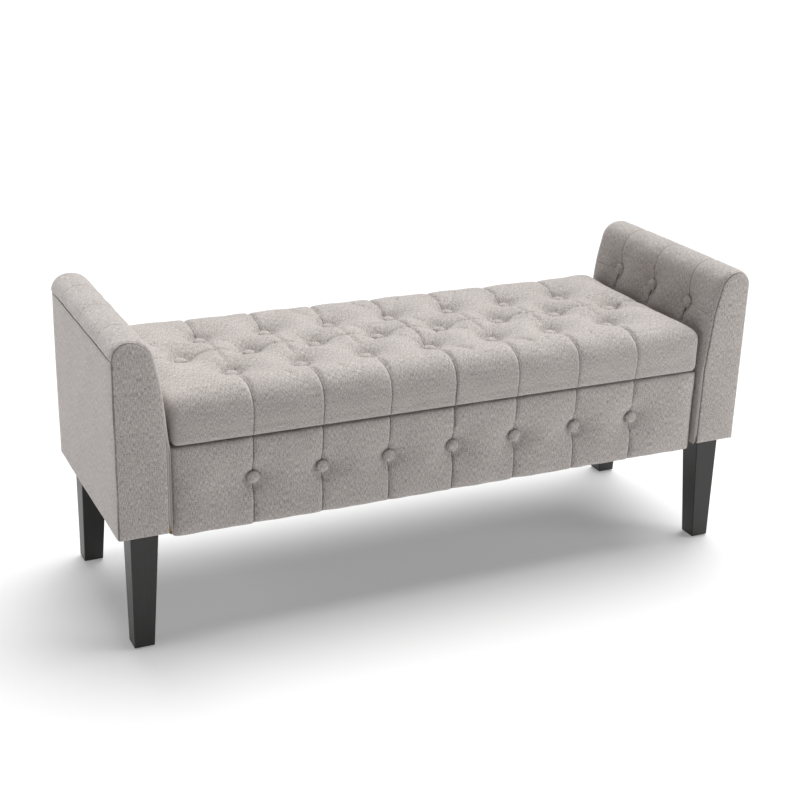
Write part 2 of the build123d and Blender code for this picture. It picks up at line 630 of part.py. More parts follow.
def build_hinges():
    hinge_box_screws = box_screw_places[: len(hinge_screw_places)]
    hinge_lid_screws = lid_screw_places[: len(hinge_screw_places)]
    outer = range(0, KNUCKLE_COUNT, 2)
    inner = range(1, KNUCKLE_COUNT, 2)
    save("hinge_box_leaves", *hinge_leaf((BOX_RIM, box_leaf_top), outer, hinge_box_screws))
    save("hinge_lid_leaves", *hinge_leaf((lid_leaf_bottom, lid_bottom), inner, hinge_lid_screws))
    pins = [rod_x(PIN_R, (x - HINGE_L / 2, x + HINGE_L / 2), hinge_y, hinge_z) for x in hinge_places]
    save("hinge_pins", *pins)
    save("box_screws", *[place * screw() for place in box_screw_places])
    save("lid_screws", *[place * screw() for place in lid_screw_places])


# ------------------------------------------------------------------------------------------- the stays
def stay_plate(start, end, x):
    """A flat bar with round ends between two pivots given as (y, z), from x to x + STAY_T."""
    run = (end[0] - start[0], end[1] - start[1])
    length = (run[0] ** 2 + run[1] ** 2) ** 0.5
    middle = ((start[0] + end[0]) / 2, (start[1] + end[1]) / 2)
    plate = extrude(SlotCenterToCenter(length, STAY_W), STAY_T)
    turn = Rot(degrees(atan2(run[1], run[0])), 0, 0) * Rot(90, 0, 0) * Rot(0, 90, 0)
    return Pos(x, *middle) * turn * plate


def rivet(pivot, heads, x):
    """A rivet along X from x[0] to x[1], with a head at each end of those that heads names."""
    body = rod_x(RIVET_R, x, *pivot)
    if "inner" in heads:
        body += rod_x(RIVET_HEAD_R, (x[0], x[0] + RIVET_HEAD_T), *pivot)
    if "outer" in heads:
        body += rod_x(RIVET_HEAD_R, (x[1] - RIVET_HEAD_T, x[1]), *pivot)
    return body


def pivot_hole(pivot, clearance):
    return rod_x(RIVET_R + clearance, (layer_2 - 5, bracket_face + 5), *pivot)


def build_stays():
    y = (stay_box_pivot[0] - BRACKET_W / 2, stay_box_pivot[0] + BRACKET_W / 2)
    box_bracket = block((layer_0, bracket_face), y, (bracket_bottom, bracket_top))
    box_bracket -= pivot_hole(stay_box_pivot, RIVET_CLEAR)
    box_bracket -= box_screw_cuts

    lid_y, lid_z = stay_lid_pivot
    ear_x = (layer_1, layer_1 + STAY_T)
    ear = block(ear_x, (lid_y - STAY_W / 2, lid_y + STAY_W / 2), (lid_z, lid_bottom))
    ear += rod_x(STAY_W / 2, ear_x, lid_y, lid_z)
    flange_y = (lid_y - FLANGE_L / 2, lid_y + FLANGE_L / 2)
    lid_bracket = ear + block((flange_x, ear_x[1]), flange_y, (flange_bottom, lid_bottom))
    lid_bracket -= pivot_hole(stay_lid_pivot, RIVET_CLEAR)
    lid_bracket -= lid_screw_cuts

    lower_arm = stay_plate(stay_box_pivot, stay_elbow, layer_1)
    lower_arm -= pivot_hole(stay_box_pivot, RIVET_CLEAR)
    lower_arm -= pivot_hole(stay_elbow, RIVET_CLEAR)
    upper_arm = stay_plate(stay_lid_pivot, stay_elbow, layer_2)
    upper_arm -= pivot_hole(stay_lid_pivot, RIVET_CLEAR)
    upper_arm -= pivot_hole(stay_elbow, ELBOW_CLEAR)

    box_rivet = rivet(stay_box_pivot, ("inner",), (layer_1 - STAY_GAP - RIVET_HEAD_T, bracket_face))
    plates = (layer_2 - STAY_GAP - RIVET_HEAD_T, layer_1 + STAY_T + RIVET_HEAD_T)
    lid_rivet = rivet(stay_lid_pivot, ("inner", "outer"), plates)
    elbow_rivet = rivet(stay_elbow, ("inner", "outer"), plates)

    save("stay_box_brackets", box_bracket, mirrored(box_bracket))
    save("stay_lid_brackets", lid_bracket, mirrored(lid_bracket))
    save("stay_box_rivets", box_rivet, mirrored(box_rivet))
    save("stay_lid_rivets", lid_rivet, mirrored(lid_rivet))
    save_pair("stay_elbow_rivet", elbow_rivet)
    save_pair("stay_lower_arm", lower_arm)
    save_pair("stay_upper_arm", upper_arm)


os.makedirs("parts", exist_ok=True)
arm_bolt_holes = build_arms()
build_legs()
build_box(arm_bolt_holes)
build_lid()
build_hinges()
build_stays()
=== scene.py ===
import json
import math

import bmesh
import bpy
import numpy as np
from mathutils import Matrix, Vector


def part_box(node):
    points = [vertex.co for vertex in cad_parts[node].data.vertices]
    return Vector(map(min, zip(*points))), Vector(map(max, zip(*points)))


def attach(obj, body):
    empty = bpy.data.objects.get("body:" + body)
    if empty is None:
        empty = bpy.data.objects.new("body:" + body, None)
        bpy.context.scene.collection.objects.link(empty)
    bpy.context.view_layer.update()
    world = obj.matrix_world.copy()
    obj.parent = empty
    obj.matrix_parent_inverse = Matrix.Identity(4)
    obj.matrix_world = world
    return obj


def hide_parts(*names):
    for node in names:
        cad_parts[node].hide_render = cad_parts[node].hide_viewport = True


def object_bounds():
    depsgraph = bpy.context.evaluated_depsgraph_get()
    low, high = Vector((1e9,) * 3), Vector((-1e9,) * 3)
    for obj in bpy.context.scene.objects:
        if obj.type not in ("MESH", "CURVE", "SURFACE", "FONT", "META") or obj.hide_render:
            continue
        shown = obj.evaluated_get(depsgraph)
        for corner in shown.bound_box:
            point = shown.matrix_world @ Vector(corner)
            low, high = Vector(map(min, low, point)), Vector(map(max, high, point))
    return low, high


# A tufted storage bench: a hinged, deep-buttoned seat over an upholstered box, between two padded arms on
# dark wooden legs. Metres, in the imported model's frame: +X along the bench, -Y to the front, +Z up.
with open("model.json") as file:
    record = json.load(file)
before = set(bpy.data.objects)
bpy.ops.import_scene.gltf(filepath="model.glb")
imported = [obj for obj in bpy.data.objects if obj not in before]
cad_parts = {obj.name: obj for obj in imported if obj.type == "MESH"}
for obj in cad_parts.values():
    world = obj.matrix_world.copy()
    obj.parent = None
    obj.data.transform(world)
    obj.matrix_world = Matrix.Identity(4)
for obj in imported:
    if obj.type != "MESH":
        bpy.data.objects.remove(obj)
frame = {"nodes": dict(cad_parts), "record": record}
cad_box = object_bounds()
bpy.ops.object.select_all(action="DESELECT")
MM = 0.001

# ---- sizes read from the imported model
lid_low, lid_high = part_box("lid_pad")
front_low, front_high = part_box("front_pad")
arm_low, arm_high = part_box("arm_pad_right")
facing_low, facing_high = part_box("arm_front_facing_right")
cover_low, cover_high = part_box("arm_outer_cover_right")
back_low, back_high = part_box("back_cover")
rim_low, rim_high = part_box("rim_cover")
lining_low, lining_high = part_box("storage_lining")
lid_buttons_low, lid_buttons_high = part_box("lid_buttons")
front_buttons_low, front_buttons_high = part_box("front_buttons")
arm_buttons_low, arm_buttons_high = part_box("arm_buttons_right")

# ---- tufting
BUTTON_R = (front_buttons_high.z - front_buttons_low.z) / 2
LONG_ROW = 8  # buttons in the middle row of the seat, one fewer in the others
TUFT_PITCH = (lid_buttons_high.x - lid_buttons_low.x - 2 * BUTTON_R) / (LONG_ROW - 1)
ROW_PITCH = (lid_buttons_high.y - lid_buttons_low.y - 2 * BUTTON_R) / 2
ARM_BUTTON_PITCH = (arm_buttons_high.y - arm_buttons_low.y - 2 * BUTTON_R) / 2
CELLS_PER_TUFT = 12  # grid cells of a tufted cloth from one button to the next, each way

# ---- the arm's padded section, seen from the front: its bends are at these heights and leans
ARM_BEND_Z = arm_high.z - 85 * MM
ARM_LEAN_LOW = 11 * MM
ARM_LEAN_TOP = 30 * MM
ARM_BEND_R = 150 * MM
CROWN_R_INNER = 37 * MM
CROWN_R_OUTER = 31 * MM


# ------------------------------------------------------------------------------------------- materials
def linear(colour):
    """An sRGB hex colour as the linear RGBA that a socket takes."""
    parts = [int(colour[i : i + 2], 16) / 255 for i in (1, 3, 5)]
    return (*[p / 12.92 if p <= 0.04045 else ((p + 0.055) / 1.055) ** 2.4 for p in parts], 1)


def node(tree, kind, links=None, **settings):
    """Adds a node. `settings` are its own properties; `links` are its inputs, each a socket or a value."""
    made = tree.nodes.new(kind)
    for key, value in settings.items():
        setattr(made, key, value)
    for key, value in (links or {}).items():
        if isinstance(value, bpy.types.NodeSocket):
            tree.links.new(value, made.inputs[key])
        else:
            made.inputs[key].default_value = value
    return made


def new_material(name):
    """An empty node material, with its tree."""
    material = bpy.data.materials.new(name)
    material.use_nodes = True
    material.node_tree.nodes.clear()
    return material, material.node_tree


def ramp(tree, factor, stops):
    """A colour ramp from (position, hex colour) stops."""
    made = node(tree, "ShaderNodeValToRGB", {"Fac": factor})
    elements = made.color_ramp.elements
    while len(elements) < len(stops):
        elements.new(0.5)
    for element, (position, colour) in zip(elements, stops):
        element.position = position
        element.color = linear(colour)
    return made.outputs["Color"]


def finish_material(material, tree, colour, bump=None, **constants):
    """Ends a material in one Principled shader; `constants` are values of its own sockets."""
    links = {key.replace("_", " "): value for key, value in constants.items()}
    links["Base Color"] = colour
    if bump is not None:
        links["Normal"] = bump
    shader = node(tree, "ShaderNodeBsdfPrincipled", links)
    node(tree, "ShaderNodeOutputMaterial", {"Surface": shader.outputs["BSDF"]})
    return material


def streaks(tree, source, across, along, detail=2.0):
    """Noise drawn out along the second axis: `across` and `along` are the size of one streak, in metres."""
    scaled = node(tree, "ShaderNodeMapping", {"Vector": source, "Scale": (1 / across, 1 / along, 1 / across)})
    return node(
        tree, "ShaderNodeTexNoise", {"Vector": scaled.outputs["Vector"], "Scale": 1.0, "Detail": detail}
    ).outputs["Fac"]


def mixed(tree, parts):
    """The weighted sum of several grey patterns, from (weight, socket) pairs."""
    total = None
    for weight, socket in parts:
        made = node(tree, "ShaderNodeMath", {0: socket, 1: weight}, operation="MULTIPLY")
        if total is not None:
            made = node(tree, "ShaderNodeMath", {0: made.outputs[0], 1: total}, operation="ADD")
        total = made.outputs[0]
    return total


def mottled_linen(name, shades, sheen=0.25):
    """Woven polyester linen in mixed grey and cream yarns: matt, slubbed both ways, with a soft surface nap.
    The threads are about 0.5 mm apart, too fine to show, so the slubs are drawn 1.3 mm wide. The attribute
    "crease" darkens the cloth with painted shade within 1.5 mm of a seam or pleat, standing in for the
    shadow inside the fold."""
    material, tree = new_material(name)
    cloth = node(tree, "ShaderNodeUVMap", uv_map="cloth").outputs["UV"]
    warp = streaks(tree, cloth, 1.3 * MM, 8 * MM)
    weft = streaks(tree, cloth, 6 * MM, 1.3 * MM)
    fleck = streaks(tree, cloth, 1.1 * MM, 1.6 * MM, detail=3.0)
    cloudy = streaks(tree, cloth, 55 * MM, 70 * MM, detail=1.0)
    tone = mixed(tree, [(0.40, warp), (0.20, weft), (0.36, fleck), (0.04, cloudy)])
    painted_crease_shade = node(tree, "ShaderNodeAttribute", attribute_name="painted_crease_shade").outputs["Fac"]
    # painted shade: the yarn colour is darkened down to 30% where the crease mask nears 1, in place of the
    # fold's shadow
    fold = {"Value": painted_crease_shade, "From Min": 0.6, "From Max": 1.0, "To Min": 1.0, "To Max": 0.30}
    shade = node(tree, "ShaderNodeMapRange", fold).outputs["Result"]
    yarn = ramp(tree, tone, shades)
    shaded = node(tree, "ShaderNodeVectorMath", {"Vector": yarn, "Scale": shade}, operation="SCALE")
    colour = shaded.outputs["Vector"]
    relief = mixed(tree, [(0.4, warp), (0.25, weft), (0.35, fleck)])
    bump = node(tree, "ShaderNodeBump", {"Height": relief, "Strength": 0.5, "Distance": 0.6 * MM})
    return finish_material(
        material, tree, colour, bump.outputs["Normal"], Roughness=0.92, Specular_IOR_Level=0.2,
        Sheen_Weight=sheen, Sheen_Roughness=0.55,
    )  # fmt: skip


LINEN_SHADES = [(0.41, "#89837f"), (0.47, "#a7a19d"), (0.53, "#bcb5b1"), (0.59, "#d2cac5")]
linen = mottled_linen("mottled_linen_upholstery", LINEN_SHADES)
button_linen = mottled_linen("mottled_linen_over_button", LINEN_SHADES, sheen=0.15)


def nonwoven(name, base, fibre):
    """Black spun-bonded polypropylene: thin, matt, pressed in a fine dotted pattern of about 1.5 mm."""
    material, tree = new_material(name)
    place = node(tree, "ShaderNodeTexCoord").outputs["Object"]
    fibres = streaks(tree, place, 1.2 * MM, 5 * MM, detail=3.0)
    dots = node(tree, "ShaderNodeTexVoronoi", {"Vector": place, "Scale": 1 / (2.4 * MM)}).outputs["Distance"]
    colour = ramp(tree, fibres, [(0.35, base), (0.7, fibre)])
    height = mixed(tree, [(0.5, fibres), (0.5, dots)])
    bump = node(tree, "ShaderNodeBump", {"Height": height, "Strength": 0.5, "Distance": 0.3 * MM})
    return finish_material(
        material, tree, colour, bump.outputs["Normal"], Roughness=0.85, Specular_IOR_Level=0.3
    )


dust_cloth = nonwoven("black_nonwoven_dust_cloth", "#141414", "#232323")
lining_cloth = nonwoven("charcoal_nonwoven_lining", "#1b1b1c", "#2e2e2f")


def grained_wood(name, stops, ring, length, roughness, coat=0.0, turn=(0, 0, 0), gloss_bump=0.25):
    """Wood with its grain along local Y after `turn`: rings `ring` wide and streaks `length` long."""
    material, tree = new_material(name)
    place = node(tree, "ShaderNodeTexCoord").outputs["Object"]
    turned = node(tree, "ShaderNodeMapping", {"Vector": place, "Rotation": turn}).outputs["Vector"]
    figure = streaks(tree, turned, ring, length, detail=4.0)
    pores = streaks(tree, turned, 0.5 * MM, 9 * MM, detail=2.0)
    tone = mixed(tree, [(0.7, figure), (0.3, pores)])
    colour = ramp(tree, tone, stops)
    bump = node(tree, "ShaderNodeBump", {"Height": tone, "Strength": gloss_bump, "Distance": 0.25 * MM})
    return finish_material(
        material, tree, colour, bump.outputs["Normal"], Roughness=roughness,
        Coat_Weight=coat, Coat_Roughness=0.25,
    )  # fmt: skip


UPRIGHT = (math.radians(90), 0, 0)  # grain along Z
ALONG_BENCH = (0, 0, math.radians(90))  # grain along X
# Rubberwood stained espresso and sprayed with satin lacquer: near black, the grain only just shows.
leg_wood = grained_wood(
    "espresso_stained_rubberwood", [(0.3, "#100d0c"), (0.55, "#171311"), (0.75, "#231a17")],
    5 * MM, 90 * MM, 0.45, coat=0.12, turn=UPRIGHT,
)  # fmt: skip
plywood = grained_wood(
    "raw_birch_plywood", [(0.3, "#b08a5c"), (0.55, "#c9a877"), (0.75, "#dcc296")],
    9 * MM, 160 * MM, 0.7, turn=ALONG_BENCH,
)  # fmt: skip
hardboard = grained_wood(
    "pressed_hardboard", [(0.3, "#5d4128"), (0.7, "#7a5a39")], 3 * MM, 6 * MM, 0.75, turn=ALONG_BENCH
)
pine = grained_wood(
    "planed_pine", [(0.3, "#c79a5e"), (0.5, "#dbb57d"), (0.72, "#ecd0a0")],
    6 * MM, 220 * MM, 0.6, turn=ALONG_BENCH,
)  # fmt: skip


def zinc_plate(name, light, dark, roughness):
    """Pressed or turned steel with bright zinc plate: a cool metal, with fine drawn lines and a cloudy bloom
    from the plating bath."""
    material, tree = new_material(name)
    place = node(tree, "ShaderNodeTexCoord").outputs["Object"]
    lines = streaks(tree, place, 14 * MM, 0.6 * MM)
    bloom = streaks(tree, place, 6 * MM, 6 * MM, detail=3.0)
    colour = ramp(tree, mixed(tree, [(0.4, lines), (0.6, bloom)]), [(0.35, dark), (0.65, light)])
    bump = node(tree, "ShaderNodeBump", {"Height": lines, "Strength": 0.2, "Distance": 0.1 * MM})
    return finish_material(material, tree, colour, bump.outputs["Normal"], Metallic=1.0, Roughness=roughness)


bright_zinc = zinc_plate("bright_zinc_plated_steel", "#cfd1d2", "#a9abac", 0.32)
hinge_zinc = zinc_plate("zinc_plated_hinge_steel", "#c3c2bb", "#9b9a92", 0.36)
stay_zinc = zinc_plate("zinc_plated_stay_steel", "#b9babb", "#8f9091", 0.38)


def moulded_black(name, base, grain, roughness, scale):
    """Black plastic or rubber from a spark-textured mould, with grain of the given size."""
    material, tree = new_material(name)
    place = node(tree, "ShaderNodeTexCoord").outputs["Object"]
    pits = streaks(tree, place, scale, scale, detail=3.0)
    colour = ramp(tree, pits, [(0.3, base), (0.7, grain)])
    bump = node(tree, "ShaderNodeBump", {"Height": pits, "Strength": 0.35, "Distance": 0.15 * MM})
    return finish_material(material, tree, colour, bump.outputs["Normal"], Roughness=roughness)


glide_plastic = moulded_black("moulded_black_polyethylene", "#121212", "#1e1e1e", 0.5, 1.5 * MM)
bumper_rubber = moulded_black("black_rubber", "#161514", "#242221", 0.8, 1.0 * MM)

CAD_FINISHES = {
    "leg_wood": leg_wood,
    "plywood": plywood,
    "hardboard": hardboard,
    "pine": pine,
    "zinc_steel": bright_zinc,
    "hinge_steel": hinge_zinc,
    "stay_steel": stay_zinc,
    "glide_plastic": glide_plastic,
    "bumper_rubber": bumper_rubber,
    "upholstery": linen,
    "covered_buttons": button_linen,
    "dust_cloth": dust_cloth,
    "lining_cloth": lining_cloth,
}


# ------------------------------------------------------------------------------ camera, lights and floor
def build_camera():
    turn, dip, roll = (math.radians(angle) for angle in (25.74, 21.05, 1.72))
    forward = Vector(
        (math.sin(turn) * math.cos(dip), math.cos(turn) * math.cos(dip), -math.sin(dip))
    )
    level = Vector((math.cos(turn), -math.sin(turn), 0))
    upright = level.cross(forward)
    right = level * math.cos(roll) + upright * math.sin(roll)
    up = upright * math.cos(roll) - level * math.sin(roll)
    data = bpy.data.cameras.new("camera")
    data.lens = 66.34
    camera = bpy.data.objects.new("camera", data)
    bpy.context.scene.collection.objects.link(camera)
    camera.matrix_world = Matrix.Translation((-1.17844, -2.41546, 1.34810)) @ Matrix(
        (right, up, -forward)
    ).transposed().to_4x4()
    bpy.context.scene.camera = camera


def add_light(name, kind, place, power, spread=None, size=None):
    """A light at a place, aimed at the middle of the bench: a softbox of a width and height, or the soft sky
    light of a studio ceiling, spread over an angle."""
    data = bpy.data.lights.new(name, kind)
    data.energy = power
    if kind == "AREA":
        data.shape = "RECTANGLE"
        data.size, data.size_y = size
    else:
        data.angle = math.radians(spread)
    light = bpy.data.objects.new(name, data)
    bpy.context.scene.collection.objects.link(light)
    light.location = place
    light.rotation_euler = (Vector((0, 0, 0.35)) - Vector(place)).to_track_quat("-Z", "Y").to_euler()


def build_studio():
    world = bpy.data.worlds.new("studio")
    bpy.context.scene.world = world
    world.use_nodes = True
    background = world.node_tree.nodes["Background"].inputs
    background["Color"].default_value = (1, 1, 1, 1)
    background["Strength"].default_value = 0.02
    bpy.context.scene.view_settings.view_transform = "Standard"
    add_light("ceiling", "SUN", (0.85, 0.75, 3.0), 4.4, spread=56)
    add_light("left_softbox", "AREA", (-2.6, 0.4, 0.9), 15, size=(1.6, 1.6))
    add_light("right_softbox", "AREA", (2.3, -1.4, 0.75), 21, size=(0.9, 1.2))

    bpy.ops.mesh.primitive_plane_add(size=400)
    floor = bpy.context.object
    floor.name = "floor"
    bpy.ops.object.select_all(action="DESELECT")
    material, tree = new_material("backlit_white_acrylic_sweep")
    finish_material(material, tree, linear("#d0d0d0"), Roughness=0.9, Emission_Color=linear("#ffffff"),
                    Emission_Strength=0.26)  # fmt: skip
    floor.data.materials.append(material)


build_camera()
build_studio()


# ------------------------------------------------------------------------------- steps every piece takes
def add_piece(name, mesh):
    """A new object for a mesh, at the origin."""
    piece = bpy.data.objects.new(name, mesh)
    bpy.context.scene.collection.objects.link(piece)
    return piece


def shade_smooth(mesh):
    mesh.polygons.foreach_set("use_smooth", np.ones(len(mesh.polygons), bool))


def apply_last(piece):
    """Applies the piece's last modifier."""
    bpy.context.view_layer.objects.active = piece
    bpy.ops.object.modifier_apply(modifier=piece.modifiers[-1].name)


def thicken(piece, thickness):
    """Gives a single layer of cloth its thickness, inwards."""
    solid = piece.modifiers.new("cloth", "SOLIDIFY")
    solid.thickness = thickness
    solid.offset = -1
    apply_last(piece)


def settle(piece, angle, inside=False):
    """Turns the faces outwards, or inwards, and shades the piece smooth up to an angle."""
    bpy.ops.object.select_all(action="DESELECT")
    piece.select_set(True)
    bpy.context.view_layer.objects.active = piece
    bpy.ops.object.mode_set(mode="EDIT")
    bpy.ops.mesh.select_all(action="SELECT")
    bpy.ops.mesh.normals_make_consistent(inside=inside)
    bpy.ops.object.mode_set(mode="OBJECT")
    bpy.ops.object.shade_smooth_by_angle(angle=math.radians(angle))
    bpy.ops.object.select_all(action="DESELECT")


def lay_cloth(piece, across, along):
    """A flat UV map in metres, from two axes of the frame. Returns each loop's point."""
    mesh = piece.data
    points = np.array([mesh.vertices[loop.vertex_index].co for loop in mesh.loops])
    mesh.uv_layers.new(name="cloth").data.foreach_set("uv", points[:, [across, along]].ravel())
    return points


def paint_crease_shade(piece, strength):
    # stores the painted shade mask: how far each point's cloth colour is darkened at seams and pleats
    piece.data.attributes.new("painted_crease_shade", "FLOAT", "POINT").data.foreach_set("value", strength)


def bench_piece(piece, body, material, slot, *nodes, fill=None):
    """Gives a finished piece its material, parents it to the body it rides on, and hides the CAD nodes it
    stands for.
    """
    piece.data.materials.append(material)
    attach(piece, body)
    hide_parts(*nodes)


# ------------------------------------------------------------------------------------- cloth over padding
def rolled_lines(low, high, pitch, low_reach, high_reach, roll_cells=5):
    """Grid lines from low to high: even ones on multiples of pitch, and at each end lines that are evenly
    spaced round a rolled edge. Returns the lines, their places on the unrolled cloth, and both reaches."""
    first = math.ceil((low + low_reach) / pitch - 1e-6)
    last = math.floor((high - high_reach) / pitch + 1e-6)
    inner = pitch * np.arange(first, last + 1)
    turn = np.linspace(0, math.pi / 2, roll_cells, endpoint=False)
    low_reach, high_reach = inner[0] - low, high - inner[-1]
    lines = np.concatenate(
        [low + low_reach * (1 - np.cos(turn)), inner, high - high_reach * (1 - np.cos(turn[::-1]))]
    )
    unrolled_low = inner[0] - low_reach * (math.pi / 2 - turn)
    unrolled_high = inner[-1] + high_reach * (math.pi / 2 - turn[::-1])
    unrolled = np.concatenate([unrolled_low, inner, unrolled_high])
    return lines, unrolled, (low_reach, high_reach)


SWELL_PRESSURE = 4.0
SWELL_FRAMES = 20


class Cloth:
    """The cloth over one pad: a grid over its face and four sides that hang from the grid's edges.
    `plan` holds each point's place on the face and its share of the way down a side."""

    def __init__(self, name, size, pitch, reach, fall, depth, corner=0.0, side_cells=4, roll_cells=5):
        (x0, x1), (y0, y1) = size
        (left, right), (bottom, top) = reach
        self.x, self.u, x_reach = rolled_lines(x0, x1, pitch[0], left, right, roll_cells)
        self.y, self.v, y_reach = rolled_lines(y0, y1, pitch[1], bottom, top, roll_cells)
        self.name, self.size, self.depth, self.corner = name, size, depth, corner
        self.reach, self.fall, self.side_cells = (x_reach, y_reach), fall, side_cells
        self.build()

    def build(self):
        nx, ny = len(self.x), len(self.y)
        grid = np.arange(nx * ny).reshape(nx, ny)
        top = np.array([(x, y, 0.0) for x in self.x for y in self.y])
        top_uv = np.array([(u, v) for u in self.u for v in self.v])
        rim = np.concatenate([grid[:-1, 0], grid[-1, :-1], grid[:0:-1, -1], grid[0, :0:-1]])
        outward = np.repeat([(0, -1), (1, 0), (0, 1), (-1, 0)], [nx - 1, ny - 1, nx - 1, ny - 1], axis=0)
        rows = [rim] + [nx * ny + k * len(rim) + np.arange(len(rim)) for k in range(self.side_cells)]
        shares = [(k + 1) / self.side_cells for k in range(self.side_cells)]
        sides = [np.column_stack([top[rim, :2], np.full(len(rim), share)]) for share in shares]
        self.plan = np.vstack([top] + sides)
        faces = np.stack([grid[:-1, :-1], grid[1:, :-1], grid[1:, 1:], grid[:-1, 1:]], axis=-1).reshape(-1, 4)
        loops_uv = [top_uv[faces].reshape(-1, 2)]
        for k in range(self.side_cells):
            upper, lower = rows[k], rows[k + 1]
            after, low_after = np.roll(upper, -1), np.roll(lower, -1)
            faces = np.vstack([faces, np.stack([upper, lower, low_after, after], axis=-1)])
            here, ahead = top_uv[rim], top_uv[np.roll(rim, -1)]
            high_fall = outward * self.depth * k / self.side_cells
            low_fall = outward * self.depth * (k + 1) / self.side_cells
            quad = np.stack([here + high_fall, here + low_fall, ahead + low_fall, ahead + high_fall], axis=1)
            loops_uv.append(quad.reshape(-1, 2))
        mesh = bpy.data.meshes.new(self.name)
        mesh.from_pydata(self.plan.tolist(), [], faces.tolist())
        layer = mesh.uv_layers.new(name="cloth")
        layer.data.foreach_set("uv", np.concatenate(loops_uv).ravel())
        attribute = mesh.attributes.new("plan", "FLOAT_VECTOR", "POINT")
        attribute.data.foreach_set("vector", self.plan.ravel())
        self.piece = add_piece(self.name, mesh)
        shade_smooth(mesh)

    def relax_corners(self):
        """The plan with its square corners rounded, and each point's direction out of the plan."""
        (x0, x1), (y0, y1) = self.size
        flat = self.plan[:, :2]
        r = max(self.corner, 0.1 * MM)
        core = np.column_stack([np.clip(flat[:, 0], x0 + r, x1 - r), np.clip(flat[:, 1], y0 + r, y1 - r)])
        d = flat - core
        length = np.maximum(np.hypot(d[:, 0], d[:, 1]), 1e-9)
        largest = np.abs(d).max(axis=1)
        way = d / length[:, None]
        return core + way * largest[:, None], way

    def depths(self):
        """How far each point lies below the highest plane of the face, with the edges rolled over."""
        total = np.zeros(len(self.plan))
        for axis in (0, 1):
            low, high = self.size[axis]
            for edge, reach, fall in zip((0, 1), self.reach[axis], self.fall[axis]):
                place = self.plan[:, axis]
                inside = place - low if edge == 0 else high - place
                t = np.clip(1 - inside / reach, 0, 1)
                total += (fall * (1 - np.sqrt(1 - t * t))) ** 4
        total = total ** 0.25
        share = self.plan[:, 2]
        return total + share * (self.depth - total)

    def set_points(self, points):
        self.piece.data.vertices.foreach_set("co", points.astype(np.float32).ravel())
        self.piece.data.update()

    def read(self):
        """The points, their normals and their places on the plan, as the mesh is now."""
        mesh = self.piece.data
        count = len(mesh.vertices)
        points, normals, plan = (np.zeros(count * 3, np.float32) for _ in range(3))
        mesh.vertices.foreach_get("co", points)
        mesh.vertex_normals.foreach_get("vector", normals)
        mesh.attributes["plan"].data.foreach_get("vector", plan)
        return (a.reshape(-1, 3).astype(float) for a in (points, normals, plan))

    def swell(self, held, limit):
        """Cloth simulation: the cloth swells under pressure between the points where it is held. No point
        moves further than its limit."""
        start, _, _ = self.read()
        group = self.piece.vertex_groups.new(name="held")
        group.add(np.flatnonzero(held).tolist(), 1.0, "REPLACE")
        cloth = self.piece.modifiers.new("swell", "CLOTH")
        cloth.settings.vertex_group_mass = "held"
        cloth.settings.use_pressure = True
        cloth.settings.uniform_pressure_force = SWELL_PRESSURE
        cloth.settings.effector_weights.gravity = 0
        scene = bpy.context.scene
        for step in range(SWELL_FRAMES):
            scene.frame_set(step + 1)
        seen = self.piece.evaluated_get(bpy.context.evaluated_depsgraph_get())
        moved = np.zeros(len(start) * 3, np.float32)
        seen.data.vertices.foreach_get("co", moved)
        self.piece.modifiers.remove(cloth)
        self.piece.vertex_groups.remove(group)
        scene.frame_set(1)
        shift = moved.reshape(-1, 3) - start
        far = np.maximum(np.linalg.norm(shift, axis=1), 1e-9)
        self.set_points(start + shift * np.minimum(1, limit / far)[:, None])

    def refine(self):
        """One level of subdivision, applied."""
        modifier = self.piece.modifiers.new("refine", "SUBSURF")
        modifier.levels = modifier.render_levels = 1
        modifier.boundary_smooth = "PRESERVE_CORNERS"
        apply_last(self.piece)

    def push_in(self, depth):
        """Moves each point against its normal by its own depth."""
        points, normals, _ = self.read()
        self.set_points(points - normals * depth[:, None])

    def close(self, chords=False):
        """Closes the open side: with one flat face, or for a curved pad with its two ends and the face
        between them, along chords between the corners of its open edge."""
        shell = bmesh.new()
        shell.from_mesh(self.piece.data)
        plan = shell.verts.layers.float_vector["plan"]
        uv = shell.loops.layers.uv["cloth"]
        edges = [e for e in shell.edges if e.is_boundary]
        for e in edges:
            e.smooth = False
        if chords:
            (x0, x1), (y0, y1) = self.size
            groups = [edges]
            corners = {}
            for v in {v for e in edges for v in e.verts}:
                at_x = [i for i, x in enumerate((x0, x1)) if abs(v[plan].x - x) < 1e-5]
                at_y = [i for i, y in enumerate((y0, y1)) if abs(v[plan].y - y) < 1e-5]
                if at_x and at_y:
                    corners[at_x[0], at_y[0]] = v
            chord = [shell.edges.new((corners[i, 0], corners[i, 1])) for i in (0, 1)]
            ends = [[e for e in edges if all(abs(v[plan].x - x) < 1e-5 for v in e.verts)] for x in (x0, x1)]
            between = [e for e in edges if not any(e in end for end in ends)]
            groups = [ends[0] + [chord[0]], ends[1] + [chord[1]], between + chord]
        else:
            groups = [edges]
        made = []
        for group in groups:
            made += bmesh.ops.contextual_create(shell, geom=group)["faces"]
        bmesh.ops.recalc_face_normals(shell, faces=shell.faces[:])
        for face in made:
            face.smooth = False
            for loop in face.loops:
                loop[uv].uv = (loop.vert.co.x, loop.vert.co.y)
        shell.to_mesh(self.piece.data)
        shell.free()


# ---- seams and tufts on a cloth's plan
def along_seam(plan, seam):
    """Each point's distance from a seam (x0, y0, x1, y1), signed so that points to the right of an upright
    seam are positive, and its share of the way along."""
    a, b = np.array(seam[:2]), np.array(seam[2:4])
    way = b - a
    length = np.hypot(*way)
    way = way / length
    rel = plan[:, :2] - a
    share = np.clip(rel @ way / length, 0, 1)
    nearest = a + share[:, None] * length * way
    off = plan[:, :2] - nearest
    side = np.sign(rel[:, 0] * way[1] - rel[:, 1] * way[0]) * (-1 if way[1] < 0 else 1)
    return np.hypot(off[:, 0], off[:, 1]) * side, share


